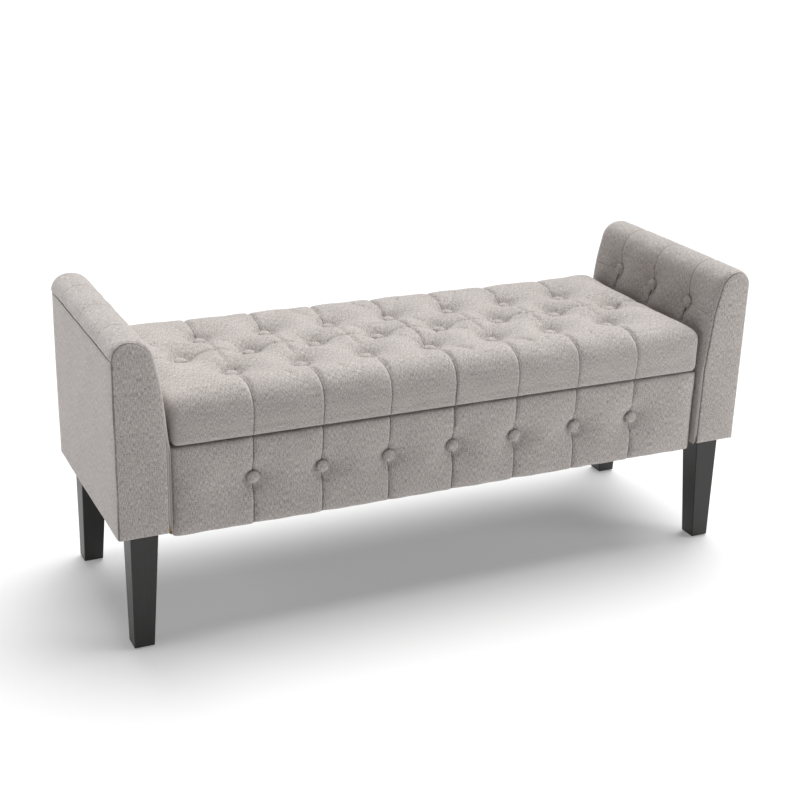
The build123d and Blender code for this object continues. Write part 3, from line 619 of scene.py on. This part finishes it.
def tuft_depth(plan, seams, buttons, sink, middle, seam_width, tuft_width):
    """How far tufting pulls the cloth in: down to `sink` at a button, and to `middle` half-way along a seam.
    A seam's ends are each at a button (1) or at a free edge (0)."""
    pulled = np.zeros(len(plan))
    for x0, y0, x1, y1, start, end in seams:
        distance, share = along_seam(plan, (x0, y0, x1, y1))
        pull = start * (1 - share) ** 4 + end * share ** 4
        line = middle + (0.35 * sink - middle) * pull
        pulled = np.maximum(pulled, line * np.exp(-((np.abs(distance) / seam_width) ** 1.3)))
    for x, y in buttons:
        r = np.hypot(plan[:, 0] - x, plan[:, 1] - y)
        beyond = np.maximum(0, r - 1.1 * BUTTON_R)
        pulled = np.maximum(pulled, sink * np.exp(-((beyond / tuft_width) ** 1.15)))
    return pulled


def groove_depth(plan, seams, deep, shallow, width, lap=0.0, lap_reach=30 * MM):
    """A pleat's sewn or folded line: a narrow groove, deepest at its buttons. With a lap, the cloth on the
    seam's right tucks under the cloth on its left and rises again over `lap_reach`."""
    depth = np.zeros(len(plan))
    for x0, y0, x1, y1, start, end in seams:
        distance, share = along_seam(plan, (x0, y0, x1, y1))
        pull = np.maximum(start * (1 - share) ** 2, end * share ** 2)
        fold = (shallow + (deep - shallow) * pull) * np.clip(1 - np.abs(distance) / width, 0, 1)
        tuck = lap * (0.3 + 0.7 * pull) * np.exp(-np.abs(distance) / lap_reach) * (distance > -0.4 * MM)
        tuck = tuck * (np.abs(distance) < 3 * lap_reach)
        depth = np.maximum(depth, fold + tuck)
    return depth


def near_button(plan, buttons, radius):
    return np.any([np.hypot(plan[:, 0] - x, plan[:, 1] - y) < radius for x, y in buttons], axis=0)


# how far to each side of a seam or pleat the painted shade reaches
PAINTED_SHADE_REACH = 4 * MM


def painted_crease_shade_strength(plan, seams, middle):
    """How strongly painted shade darkens each point's colour along seams: 1 on a seam at its button, `middle`
    on it far from one, and 0 beside it."""
    strength = np.zeros(len(plan))
    for x0, y0, x1, y1, start, end in seams:
        distance, share = along_seam(plan, (x0, y0, x1, y1))
        pull = np.maximum(start * (1 - share) ** 2, end * share ** 2)
        line = np.clip(1 - np.abs(distance) / PAINTED_SHADE_REACH, 0, 1)
        strength = np.maximum(strength, line * (middle + (1 - middle) * pull))
    return strength


def clear_of_buttons(plan, buttons, reach):
    """From 0 at a button's edge to 1 beyond its reach."""
    nearest = np.min([np.hypot(plan[:, 0] - x, plan[:, 1] - y) for x, y in buttons], axis=0)
    away = np.clip((nearest - BUTTON_R) / reach, 0, 1)
    return away * away * (3 - 2 * away)


def slow_wave(points, size, height, seed):
    """A smooth, fixed unevenness of the padding."""
    turn = np.random.default_rng(seed).uniform(0, 2 * math.pi, (6, 3))
    wave = np.zeros(len(points))
    for k, phase in enumerate(turn):
        stretch = 2 * math.pi / (size * (0.7 + 0.25 * k))
        wave += np.prod(np.sin(points * stretch + phase), axis=1)
    return height * wave


# ------------------------------------------------------------------------------------------- the seat
def seat_tufts():
    """Button places in three staggered rows, and the pleats between them and out to the edges."""
    long_xs = TUFT_PITCH * (np.arange(LONG_ROW) - (LONG_ROW - 1) / 2)
    short_xs = TUFT_PITCH * (np.arange(LONG_ROW - 1) - (LONG_ROW - 2) / 2)
    buttons = [(x, 0.0) for x in long_xs]
    buttons += [(x, side * ROW_PITCH) for side in (-1, 1) for x in short_xs]
    pleats = []
    for x in short_xs:
        for side in (-1, 1):
            for step in (-1, 1):
                pleats.append((x, side * ROW_PITCH, x + step * TUFT_PITCH / 2, 0.0, 1, 1))
    for x in short_xs:
        pleats.append((x, -ROW_PITCH, x, lid_low.y, 1, 0))
        pleats.append((x, ROW_PITCH, x, lid_high.y, 1, 0))
    for side in (-1, 1):
        pleats.append((side * long_xs[-1], 0.0, side * lid_high.x, 0.0, 1, 0))
    return buttons, pleats


EDGE_PLEATS = 2 * (LONG_ROW - 1) + 2  # the last ones listed run out to the seat's edges
SEAT_CROWN = lid_high.z - 1.5 * MM  # the cloth's highest level before it swells
SEAT_SINK = 23 * MM  # how far a button is pulled down below the crown
SEAT_SKIRT = 0.5 * MM  # the cover passes just under the lid board


def build_seat():
    buttons, pleats = seat_tufts()
    seat = Cloth(
        "seat_cushion",
        ((lid_low.x, lid_high.x), (lid_low.y, lid_high.y)),
        (TUFT_PITCH / 2 / CELLS_PER_TUFT, ROW_PITCH / CELLS_PER_TUFT),
        reach=((42 * MM, 42 * MM), (44 * MM, 38 * MM)),
        fall=((24 * MM, 24 * MM), (38 * MM, 16 * MM)),
        depth=SEAT_CROWN - lid_low.z + SEAT_SKIRT,
        corner=15 * MM,
        side_cells=9,
        roll_cells=7,
    )
    place, way = seat.relax_corners()
    depth = seat.depths()
    share = seat.plan[:, 2]
    tuck = 3.5 * MM * (1 - np.sqrt(1 - np.clip((share - 0.88) / 0.12, 0, 1) ** 2))
    place = place - way * tuck[:, None]
    on_top = share == 0
    pulled = tuft_depth(seat.plan, pleats, buttons, SEAT_SINK, 1.2 * MM, 8 * MM, 19 * MM)
    edge = np.clip(depth / (30 * MM), 0, 1)
    pulled = pulled * np.where(on_top, 1 - edge, 0)
    points = np.column_stack([place, SEAT_CROWN - depth - pulled])
    seat.set_points(points)
    held = near_button(seat.plan, buttons, 0.9 * BUTTON_R) | (share > 0.6)
    limit = np.where(on_top, 5 * MM, 2.5 * MM) * clear_of_buttons(seat.plan, buttons, 34 * MM)
    limit = np.where(np.abs(place[:, 0]) > lid_high.x - 12 * MM, 0.5 * MM, limit)
    seat.swell(held, limit)
    seat.refine()
    points, _, plan = seat.read()
    to_edge, between = pleats[-EDGE_PLEATS:], pleats[:-EDGE_PLEATS]
    groove = np.maximum(
        groove_depth(plan, to_edge, 2.6 * MM, 1.7 * MM, 3 * MM, lap=2.2 * MM, lap_reach=13 * MM),
        groove_depth(plan, between, 2.6 * MM, 0.2 * MM, 3 * MM, lap=1.2 * MM),
    )
    groove = groove * (0.3 + 0.7 * clear_of_buttons(plan, buttons, 8 * MM))
    groove = groove * np.clip((1 - plan[:, 2]) / 0.1, 0, 1)
    seat.push_in(groove + slow_wave(points, 90 * MM, 0.35 * MM, 3) * (plan[:, 2] < 0.7))
    # painted shade along the seat's pleats, darkest at the buttons
    painted_shade_mask = np.maximum(painted_crease_shade_strength(plan, to_edge, 1.0), painted_crease_shade_strength(plan, between, 0.5))
    paint_crease_shade(seat.piece, painted_shade_mask)
    seat.close()
    bench_piece(seat.piece, "lid", linen, "upholstery", "lid_pad", fill=0.9)
    return buttons


seat_buttons = build_seat()


# ---------------------------------------------------------------------------------------- the front panel
def front_tufts():
    xs = TUFT_PITCH * (np.arange(LONG_ROW - 1) - (LONG_ROW - 2) / 2)
    height = (front_buttons_low.z + front_buttons_high.z) / 2
    buttons = [(x, height) for x in xs]
    pleats = [(x, height, x, front_high.z, 1, 0) for x in xs]
    pleats += [(x, height, x, front_low.z, 1, 0) for x in xs]
    return buttons, pleats


FRONT_SINK = 11 * MM  # how far a button is pulled back behind the front panel's face


def build_front_panel():
    buttons, pleats = front_tufts()
    thick = front_high.y - front_low.y
    panel = Cloth(
        "front_panel",
        ((front_low.x - 2 * MM, front_high.x + 2 * MM), (front_low.z, front_high.z)),
        (TUFT_PITCH / 24, 5.5 * MM),
        reach=((14 * MM, 14 * MM), (9 * MM, 8 * MM)),
        fall=((14 * MM, 14 * MM), (8 * MM, 6 * MM)),
        depth=thick,
        corner=6 * MM,
        side_cells=2,
        roll_cells=4,
    )
    place, way = panel.relax_corners()
    depth = panel.depths()
    on_face = panel.plan[:, 2] == 0
    pulled = tuft_depth(panel.plan, pleats, buttons, FRONT_SINK, 1.2 * MM, 8 * MM, 19 * MM)
    pulled = pulled * np.where(on_face, np.clip(1 - depth / (9 * MM), 0, 1), 0)
    panel.set_points(np.column_stack([place[:, 0], front_low.y + depth + pulled, place[:, 1]]))
    held = near_button(panel.plan, buttons, 0.9 * BUTTON_R) | (panel.plan[:, 2] > 0) | (depth > 5 * MM)
    panel.swell(held, 4 * MM * clear_of_buttons(panel.plan, buttons, 34 * MM))
    panel.refine()
    points, _, plan = panel.read()
    groove = groove_depth(plan, pleats, 2 * MM, 1.6 * MM, 2.9 * MM, lap=4.6 * MM, lap_reach=15 * MM)
    groove = groove * (plan[:, 2] < 0.01) * (0.25 + 0.75 * clear_of_buttons(plan, buttons, 10 * MM))
    panel.push_in(groove + slow_wave(points, 80 * MM, 0.3 * MM, 5))
    # painted shade along the front panel's pleats, darkest at the buttons
    paint_crease_shade(panel.piece, painted_crease_shade_strength(plan, pleats, 1.0))
    panel.close()
    bench_piece(panel.piece, "bench", linen, "upholstery", "front_pad", fill=0.85)
    return buttons


front_button_places = build_front_panel()


# ---------------------------------------------------------------------------------------------- the arms
def filleted(points, radii, step):
    """Points along a path of straight runs joined by arcs, about a step apart."""
    made = [Vector(points[0])]
    for before, corner, after, radius in zip(points, points[1:], points[2:], radii):
        before, corner, after = Vector(before), Vector(corner), Vector(after)
        back, ahead = (before - corner).normalized(), (after - corner).normalized()
        half = back.angle(ahead) / 2
        reach = radius / math.tan(half)
        centre = corner + (back + ahead).normalized() * radius / math.sin(half)
        start, end = corner + back * reach, corner + ahead * reach
        steps = max(1, round(radius * (math.pi - 2 * half) / step)) if radius else 0
        made.append(start)
        for k in range(1, steps + 1):
            t = k / steps
            spoke = (start - centre).lerp(end - centre, t)
            made.append(centre + spoke.normalized() * radius)
    made.append(Vector(points[-1]))
    path = [made[0]]
    for p in made[1:]:
        run = p - path[-1]
        parts = max(1, round(run.length / step))
        if run.length > 1e-7:
            start = path[-1].copy()
            path += [start + run * (k / parts) for k in range(1, parts + 1)]
    return np.array(path)


def arm_corners():
    inner, outer, low, high = arm_low.x, cad_box[1].x, arm_low.z, arm_high.z
    rim = rim_high.z
    points = [(inner, low), (inner, rim), (inner + ARM_LEAN_LOW, ARM_BEND_Z), (inner + ARM_LEAN_TOP, high)]
    points += [(outer, high), (outer, low)]
    return points, [0.0, ARM_BEND_R, CROWN_R_INNER, CROWN_R_OUTER]


class ArmSection:
    """The outline of an arm's section by distance along it: up the seat side, over the crown and down
    outside."""

    def __init__(self):
        points, radii = arm_corners()
        self.path = filleted(points, radii, 2 * MM)
        runs = np.diff(self.path, axis=0)
        self.s = np.concatenate([[0], np.cumsum(np.hypot(runs[:, 0], runs[:, 1]))])
        way = np.gradient(self.path, self.s, axis=0)
        way /= np.hypot(way[:, 0], way[:, 1])[:, None]
        self.out = np.column_stack([-way[:, 1], way[:, 0]])

    def at(self, s):
        """Points on the outline and the directions out of it, at distances s."""
        place = np.column_stack([np.interp(s, self.s, self.path[:, i]) for i in (0, 1)])
        out = np.column_stack([np.interp(s, self.s, self.out[:, i]) for i in (0, 1)])
        return place, out / np.hypot(out[:, 0], out[:, 1])[:, None]

    def distance_at(self, height, outer=False):
        """Distance along the outline to a height, on the seat side or outside."""
        z = self.path[:, 1]
        crown = int(np.argmax(z))
        if outer:
            return float(np.interp(-height, -z[crown:], self.s[crown:]))
        return float(np.interp(height, z[: crown + 1], self.s[: crown + 1]))


section = ArmSection()
ARM_PAD_OVERHANG = 2.5 * MM  # the band rolls this far over the seam with a facing
ARM_SINK = 9 * MM  # how far a button is pulled into an arm


def arm_pair(piece, node_name, fill):
    """Finishes a right-hand piece and its twin on the other side, whose faces are turned right side out."""
    twin = add_piece(piece.name.replace("right", "left"), piece.data.copy())
    twin.data.transform(Matrix.Diagonal((-1, 1, 1, 1)))
    twin.data.flip_normals()
    for one, side in ((piece, "right"), (twin, "left")):
        bench_piece(one, "bench", linen, "upholstery", f"{node_name}_{side}", fill=fill)


def build_arm_pads():
    seam_s = section.distance_at(cover_high.z, outer=True)
    button_s = section.distance_at((arm_buttons_low.z + arm_buttons_high.z) / 2)
    low_s = section.distance_at(lid_high.z - 20 * MM)
    crown_s = section.distance_at(arm_high.z - 0.1 * MM) + 22 * MM
    ys = [ARM_BUTTON_PITCH * k for k in (-1, 0, 1)]
    buttons = [(-y, button_s) for y in ys]
    pleats = [(x, s, x, crown_s, 1, 0) for x, s in buttons]
    pleats += [(x, s, x - 6 * MM, low_s, 1, 0) for x, s in buttons]
    half = arm_high.y + ARM_PAD_OVERHANG
    for side in (-1, 1):
        pleats.append((side * ARM_BUTTON_PITCH, button_s, side * (half - 12 * MM), button_s - 4 * MM, 0.7, 0))
    pad = Cloth(
        "arm_cushion_right",
        ((-half, half), (0.0, seam_s)),
        (ARM_BUTTON_PITCH / 22, 5.5 * MM),
        reach=((9 * MM, 9 * MM), (4 * MM, 6 * MM)),
        fall=((8 * MM, 8 * MM), (3 * MM, 3.5 * MM)),
        depth=9 * MM,
        side_cells=1,
        roll_cells=4,
    )
    depth = pad.depths()
    outline, out = section.at(pad.plan[:, 1])
    pulled = tuft_depth(pad.plan, pleats, buttons, ARM_SINK, 1.2 * MM, 8 * MM, 16 * MM)
    pulled = pulled * np.clip(1 - depth / (7 * MM), 0, 1)
    over_rim = np.interp(outline[:, 1], [rim_high.z, rim_high.z + 30 * MM], [0.25, 1])
    inward = depth * over_rim + pulled
    flat = outline - out * inward[:, None]
    pad.set_points(np.column_stack([flat[:, 0], -pad.plan[:, 0], flat[:, 1]]))
    held = near_button(pad.plan, buttons, 0.9 * BUTTON_R) | (depth > 3 * MM)
    held |= outline[:, 1] < lid_high.z - 12 * MM
    pad.swell(held, 4 * MM * clear_of_buttons(pad.plan, buttons, 30 * MM))
    pad.refine()
    points, _, plan = pad.read()
    groove = groove_depth(plan, pleats, 2 * MM, 0.6 * MM, 2.8 * MM)
    groove = groove * (0.3 + 0.7 * clear_of_buttons(plan, buttons, 8 * MM))
    groove = groove * (plan[:, 2] < 0.01) * (points[:, 2] > lid_high.z - 20 * MM)
    pad.push_in(groove + slow_wave(points, 85 * MM, 0.3 * MM, 8) * (points[:, 2] > lid_high.z))
    # painted shade along the arm's pleats above the seat, darkest at the buttons
    paint_crease_shade(pad.piece, painted_crease_shade_strength(plan, pleats, 0.95) * (points[:, 2] > lid_high.z - 20 * MM))
    pad.close(chords=True)
    arm_pair(pad.piece, "arm_pad", 0.85)
    return button_s, ys


arm_button_s, arm_button_ys = build_arm_pads()


def build_facings():
    """The padded front and back of each arm: an inset panel with a soft rolled edge inside the arm's seam."""
    seat_inset, outer_inset = 7.5 * MM, 3.5 * MM
    s = np.linspace(0, section.s[-1], 150)
    outline, out = section.at(s)
    outside = np.clip((outline[:, 0] - outline[:, 0].mean()) / (30 * MM) + 0.5, 0, 1)
    inset = seat_inset + (outer_inset - seat_inset) * outside
    edge = outline - out * inset[:, None]
    foot = facing_low.z
    edge[:, 1] = np.maximum(edge[:, 1], foot)
    foot_line = np.linspace(edge[-1], edge[0], 24)[1:-1]
    edge = np.vstack([edge, foot_line])
    count = len(edge)
    middle_z = np.clip(edge[:, 1], foot + 40 * MM, arm_high.z - 44 * MM)
    inner, outer = section.at([section.distance_at(z) for z in middle_z])[0], cad_box[1].x
    spine = np.column_stack([(inner[:, 0] + outer) / 2, middle_z])
    way = spine - edge
    reach = np.hypot(way[:, 0], way[:, 1])
    way = way / reach[:, None]
    face_y = facing_low.y
    back_y = facing_high.y + 1.5 * MM
    roll = 4.5 * MM
    rings = [(0.0, back_y)]
    for turn in np.linspace(0, math.pi / 2, 5):
        rings.append((roll * (1 - math.cos(turn)), face_y + roll * (1 - math.sin(turn))))
    rings += [(9 * MM, face_y - 0.5 * MM), (15 * MM, face_y - 0.9 * MM), (23 * MM, face_y - 1.2 * MM)]
    rings += [(30 * MM, face_y - 1.3 * MM)]
    points = []
    for inward, y in rings:
        ring = edge + way * np.minimum(inward, 0.86 * reach)[:, None]
        points += [(x, y, z) for x, z in ring]
    faces = [tuple(range(count - 1, -1, -1))]
    for r in range(len(rings) - 1):
        here, ahead = r * count, (r + 1) * count
        for k in range(count):
            beside = (k + 1) % count
            faces.append((here + k, ahead + k, ahead + beside, here + beside))
    last = (len(rings) - 1) * count
    faces.append(tuple(last + k for k in range(count)))
    mesh = bpy.data.meshes.new("arm_facing")
    mesh.from_pydata(points, [], faces)
    # painted shade on the rolled edge, where the facing meets the band at its seam
    painted_shade_mask = np.zeros(len(points))
    painted_shade_mask[count : 4 * count] = np.repeat([1.0, 1.0, 0.8], count)
    mesh.attributes.new("painted_crease_shade", "FLOAT", "POINT").data.foreach_set("value", painted_shade_mask)
    for side, flip in (("front", 1), ("back", -1)):
        data = mesh.copy()
        if flip < 0:
            data.transform(Matrix.Diagonal((1, -1, 1, 1)))
        piece = add_piece(f"{side}_facing_right", data)
        settle(piece, 40)
        lay_cloth(piece, 0, 2)
        arm_pair(piece, f"arm_{side}_facing", 1.0)


build_facings()


def build_outer_covers():
    thick = cover_high.x - cover_low.x
    cover = Cloth(
        "outer_cover_right",
        ((cover_low.y, cover_high.y), (cover_low.z, cover_high.z)),
        (10 * MM, 10 * MM),
        reach=((28 * MM, 28 * MM), (8 * MM, 8 * MM)),
        fall=((thick - 0.3 * MM, thick - 0.3 * MM), (3 * MM, 3 * MM)),
        depth=thick,
        corner=2 * MM,
        side_cells=1,
        roll_cells=7,
    )
    place, _ = cover.relax_corners()
    points = np.column_stack([cover_high.x - cover.depths(), place])
    shares = [np.clip((place[:, i] - low) / (high - low), 0, 1) for i, (low, high) in enumerate(cover.size)]
    points[:, 0] += 1.2 * MM * np.prod([np.sin(math.pi * share) for share in shares], axis=0)
    cover.set_points(points)
    cover.refine()
    points, _, plan = cover.read()
    cover.push_in(slow_wave(points, 140 * MM, 0.3 * MM, 12) * (plan[:, 2] < 0.01))
    # painted shade along the cover's seams
    to_side = np.minimum(plan[:, 0] - cover_low.y, cover_high.y - plan[:, 0])
    to_seam = np.minimum(to_side, cover_high.z - plan[:, 1])
    paint_crease_shade(cover.piece, np.clip(1 - to_seam / PAINTED_SHADE_REACH, 0, 1))
    cover.close()
    arm_pair(cover.piece, "arm_outer_cover", 1.0)


build_outer_covers()


def build_back_cover():
    """The plain back of the box: cloth pulled tight over the board."""
    thick = back_high.y - back_low.y
    cover = Cloth(
        "back_cover_cloth",
        ((-back_high.x, -back_low.x), (back_low.z, back_high.z)),
        (12 * MM, 9 * MM),
        reach=((4 * MM, 4 * MM), (5 * MM, 4 * MM)),
        fall=((2.5 * MM, 2.5 * MM), (2.6 * MM, 2.4 * MM)),
        depth=thick,
        corner=1 * MM,
        side_cells=1,
        roll_cells=3,
    )
    place, _ = cover.relax_corners()
    cover.set_points(np.column_stack([-place[:, 0], back_high.y - cover.depths(), place[:, 1]]))
    cover.refine()
    points, _, plan = cover.read()
    cover.push_in(slow_wave(points, 160 * MM, 0.25 * MM, 15) * (plan[:, 2] < 0.01))
    cover.close()
    bench_piece(cover.piece, "bench", linen, "upholstery", "back_cover")


build_back_cover()


# ------------------------------------------------------------------------------------------ covered buttons
def covered_button():
    """One cloth-covered button, facing +Z with its back at the origin: a dome over a turned-under rim."""
    bpy.ops.mesh.primitive_uv_sphere_add(segments=28, ring_count=16, radius=BUTTON_R)
    button = bpy.context.object
    bpy.ops.object.mode_set(mode="EDIT")
    bpy.ops.mesh.select_all(action="SELECT")
    bpy.ops.transform.resize(value=(1, 1, 0.46))
    bpy.ops.mesh.bisect(
        plane_co=(0, 0, -1.6 * MM), plane_no=(0, 0, 1), use_fill=True, clear_inner=True
    )
    bpy.ops.mesh.select_all(action="SELECT")
    bpy.ops.transform.translate(value=(0, 0, 1.6 * MM))
    bpy.ops.object.mode_set(mode="OBJECT")
    bpy.ops.object.shade_smooth_by_angle(angle=math.radians(50))
    for v in button.data.vertices:
        r = math.hypot(v.co.x, v.co.y)
        fold = max(0.0, r / BUTTON_R - 0.72) / 0.28
        v.co.z -= 0.22 * MM * fold * math.cos(11 * math.atan2(v.co.y, v.co.x))
    bpy.ops.object.select_all(action="DESELECT")
    return button


def build_buttons(name, pattern, places, node_name, body):
    """Copies of the button, each at a place with a direction, joined as one piece."""
    mesh = bpy.data.meshes.new(name)
    joined = bmesh.new()
    layer = joined.loops.layers.uv.new("cloth")
    for k, (place, way) in enumerate(places):
        first = len(joined.faces)
        joined.from_mesh(pattern.data)
        joined.faces.ensure_lookup_table()
        faces = joined.faces[first:]
        for face in faces:
            for loop in face.loops:
                loop[layer].uv = (loop.vert.co.x + 0.03 * k, loop.vert.co.y + 0.05 * k)
        turned = Matrix.Translation(place) @ Vector(way).to_track_quat("Z", "Y").to_matrix().to_4x4()
        bmesh.ops.transform(joined, matrix=turned, verts=list({v for f in faces for v in f.verts}))
    joined.to_mesh(mesh)
    joined.free()
    bench_piece(add_piece(name, mesh), body, button_linen, "covered_buttons", node_name)


def build_all_buttons():
    pattern = covered_button()
    seat_z = SEAT_CROWN - SEAT_SINK + 4 * MM
    spots = [((x, y, seat_z), (0, 0, 1)) for x, y in seat_buttons]
    build_buttons("seat_buttons", pattern, spots, "lid_buttons", "lid")
    front_y = front_low.y + FRONT_SINK - 1.5 * MM
    spots = [((x, front_y, z), (0, -1, 0)) for x, z in front_button_places]
    build_buttons("front_panel_buttons", pattern, spots, "front_buttons", "bench")
    place, out = section.at([arm_button_s])
    back = place[0] - out[0] * ARM_SINK
    for side, name in ((1, "right"), (-1, "left")):
        spots = [((side * back[0], y, back[1]), (side * out[0][0], 0, out[0][1])) for y in arm_button_ys]
        build_buttons(f"arm_tuft_buttons_{name}", pattern, spots, f"arm_buttons_{name}", "bench")
    bpy.data.objects.remove(pattern)


build_all_buttons()


# ------------------------------------------------------------------------------------ thin cloths and lining
def cloth_grid(name, size, height, pitch, up=True):
    """A flat grid of cloth over ((x0, x1), (y0, y1)) at a height, facing up or down."""
    (x0, x1), (y0, y1) = size
    nx, ny = max(2, round((x1 - x0) / pitch)), max(2, round((y1 - y0) / pitch))
    shell = bmesh.new()
    rows = [
        [shell.verts.new((x0 + (x1 - x0) * i / nx, y0 + (y1 - y0) * j / ny, height)) for j in range(ny + 1)]
        for i in range(nx + 1)
    ]
    for i in range(nx):
        for j in range(ny):
            quad = (rows[i][j], rows[i + 1][j], rows[i + 1][j + 1], rows[i][j + 1])
            shell.faces.new(quad if up else quad[::-1])
    mesh = bpy.data.meshes.new(name)
    shell.to_mesh(mesh)
    shell.free()
    shade_smooth(mesh)
    return add_piece(name, mesh)


STAPLE_PITCH = 55 * MM


def build_dust_cover(name, node_name, body, size, height, sag, thick=0.6 * MM):
    """A taut dust cover, stapled round its edge with the raw edge turned under, facing down."""
    piece = cloth_grid(name, size, height, 7 * MM, up=False)
    (x0, x1), (y0, y1) = size
    mesh = piece.data
    for v in mesh.vertices:
        x, y = v.co.x, v.co.y
        inside = min(x - x0, x1 - x, y - y0, y1 - y)
        along = x if min(y - y0, y1 - y) < min(x - x0, x1 - x) else y
        between = abs(math.sin(math.pi * along / STAPLE_PITCH))
        belly = min(1.0, inside / (60 * MM))
        pucker = between * math.exp(-inside / (14 * MM))
        v.co.z -= sag * (0.7 * belly * (2 - belly) + 0.3 * pucker)
        hem = max(0.0, 1 - inside / (9 * MM))
        v.co.z -= 0.25 * MM * (hem > 0)
    thicken(piece, thick)
    bench_piece(piece, body, dust_cloth, "dust_cloth", node_name)


def build_dust_covers():
    low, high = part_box("box_dust_cover")
    build_dust_cover(
        "box_dust_cloth", "box_dust_cover", "bench", ((low.x, high.x), (low.y, high.y)),
        high.z - 0.6 * MM, 1.2 * MM,
    )  # fmt: skip
    low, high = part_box("lid_dust_cover")
    build_dust_cover(
        "lid_dust_cloth", "lid_dust_cover", "lid", ((low.x, high.x), (low.y, high.y)),
        lid_low.z - SEAT_SKIRT - 0.5 * MM, 0.7 * MM, thick=0.4 * MM,
    )  # fmt: skip
    low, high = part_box("arm_dust_covers")
    for side, name in ((-1, "left"), (1, "right")):
        ends = sorted((side * (arm_low.x + 2 * MM), side * cover_low.x))
        build_dust_cover(
            f"arm_dust_cloth_{name}", "arm_dust_covers", "bench", (tuple(ends), (low.y, high.y)),
            low.z + 0.6 * MM, 0.8 * MM,
        )  # fmt: skip


build_dust_covers()


def build_lining():
    """The lining of the box: a floor and four walls of one cloth, glued on and stepping round the corner
    blocks."""
    low, high = lining_low, lining_high
    step = 30 * MM  # a corner block's width
    skin = 1.5 * MM  # the glued cloth with its glue
    x0, x1, y0, y1 = low.x + skin, high.x - skin, low.y + skin, high.y - skin
    notch = step + skin
    corners = []
    for cx, cy, sx, sy in ((x0, y0, 1, 1), (x1, y0, -1, 1), (x1, y1, -1, -1), (x0, y1, 1, -1)):
        trio = [(cx, cy + sy * notch), (cx + sx * notch, cy + sy * notch), (cx + sx * notch, cy)]
        corners += trio if sx * sy > 0 else trio[::-1]
    path = []
    for a, b in zip(corners, corners[1:] + corners[:1]):
        parts = max(1, round(math.dist(a, b) / (15 * MM)))
        path += [(a[0] + (b[0] - a[0]) * k / parts, a[1] + (b[1] - a[1]) * k / parts) for k in range(parts)]
    count = len(path)
    floor_z, top_z = low.z + skin, high.z
    heights = np.linspace(top_z, floor_z, 9)
    points = [(x, y, z) for z in heights for x, y in path]
    faces = [
        (r * count + k, r * count + (k + 1) % count, (r + 1) * count + (k + 1) % count, (r + 1) * count + k)
        for r in range(len(heights) - 1)
        for k in range(count)
    ]
    faces.append(tuple((len(heights) - 1) * count + k for k in range(count)))
    mesh = bpy.data.meshes.new("storage_lining_cloth")
    mesh.from_pydata(points, [], faces)
    piece = add_piece("storage_lining_cloth", mesh)
    settle(piece, 50, inside=True)
    thicken(piece, 1.2 * MM)
    bench_piece(piece, "bench", lining_cloth, "lining_cloth", "storage_lining")


build_lining()


def build_rim_binding():
    """The upholstery turned over the rim of the box and stapled down inside."""
    mouth_x, mouth_y0, mouth_y1 = 520.5 * MM, -173.5 * MM, 168.5 * MM
    low, high = rim_low, rim_high
    roll = 2.5 * MM
    rows = [("outer", 0.0, high.z - 1.2 * MM), ("outer", 0.4 * MM, high.z - 0.3 * MM)]
    rows += [("outer", 1.3 * MM, high.z), ("mouth", -roll, high.z)]
    rows += [("mouth", -0.3 * roll, high.z - 0.3 * roll), ("mouth", 0.0, high.z - roll)]
    rows += [("mouth", 0.0, high.z - 14 * MM), ("mouth", 0.2 * MM, low.z)]
    shell = bmesh.new()
    rings = []
    for kind, inset, z in rows:
        if kind == "outer":
            x0, x1, y0, y1 = low.x + inset, high.x - inset, low.y + inset, high.y - inset
        else:
            x0, x1, y0, y1 = -mouth_x + inset, mouth_x - inset, mouth_y0 + inset, mouth_y1 - inset
        spots = []
        for k in range(40):
            spots.append((x0 + (x1 - x0) * k / 40, y0))
        for k in range(16):
            spots.append((x1, y0 + (y1 - y0) * k / 16))
        for k in range(40):
            spots.append((x1 - (x1 - x0) * k / 40, y1))
        for k in range(16):
            spots.append((x0, y1 - (y1 - y0) * k / 16))
        rings.append([shell.verts.new((x, y, z)) for x, y in spots])
    count = len(rings[0])
    for a, b in zip(rings, rings[1:]):
        for k in range(count):
            shell.faces.new((a[k], a[(k + 1) % count], b[(k + 1) % count], b[k]))
    mesh = bpy.data.meshes.new("rim_binding")
    shell.to_mesh(mesh)
    shell.free()
    piece = add_piece("rim_binding", mesh)
    points = lay_cloth(piece, 0, 1)
    across, along = points[:, 0] + points[:, 1], points[:, 2] + points[:, 0] - points[:, 1]
    mesh.uv_layers["cloth"].data.foreach_set("uv", 0.8 * np.column_stack([across, along]).ravel())
    shade_smooth(mesh)
    thicken(piece, 1.0 * MM)
    bench_piece(piece, "bench", linen, "upholstery", "rim_cover")


build_rim_binding()

# ------------------------------------------------------------------------------- finishes of the CAD nodes
for part in frame["record"]["subparts"]:
    kept = frame["nodes"][part["node"]]
    kept.data.materials.clear()
    kept.data.materials.append(CAD_FINISHES[part["material_slot"]])
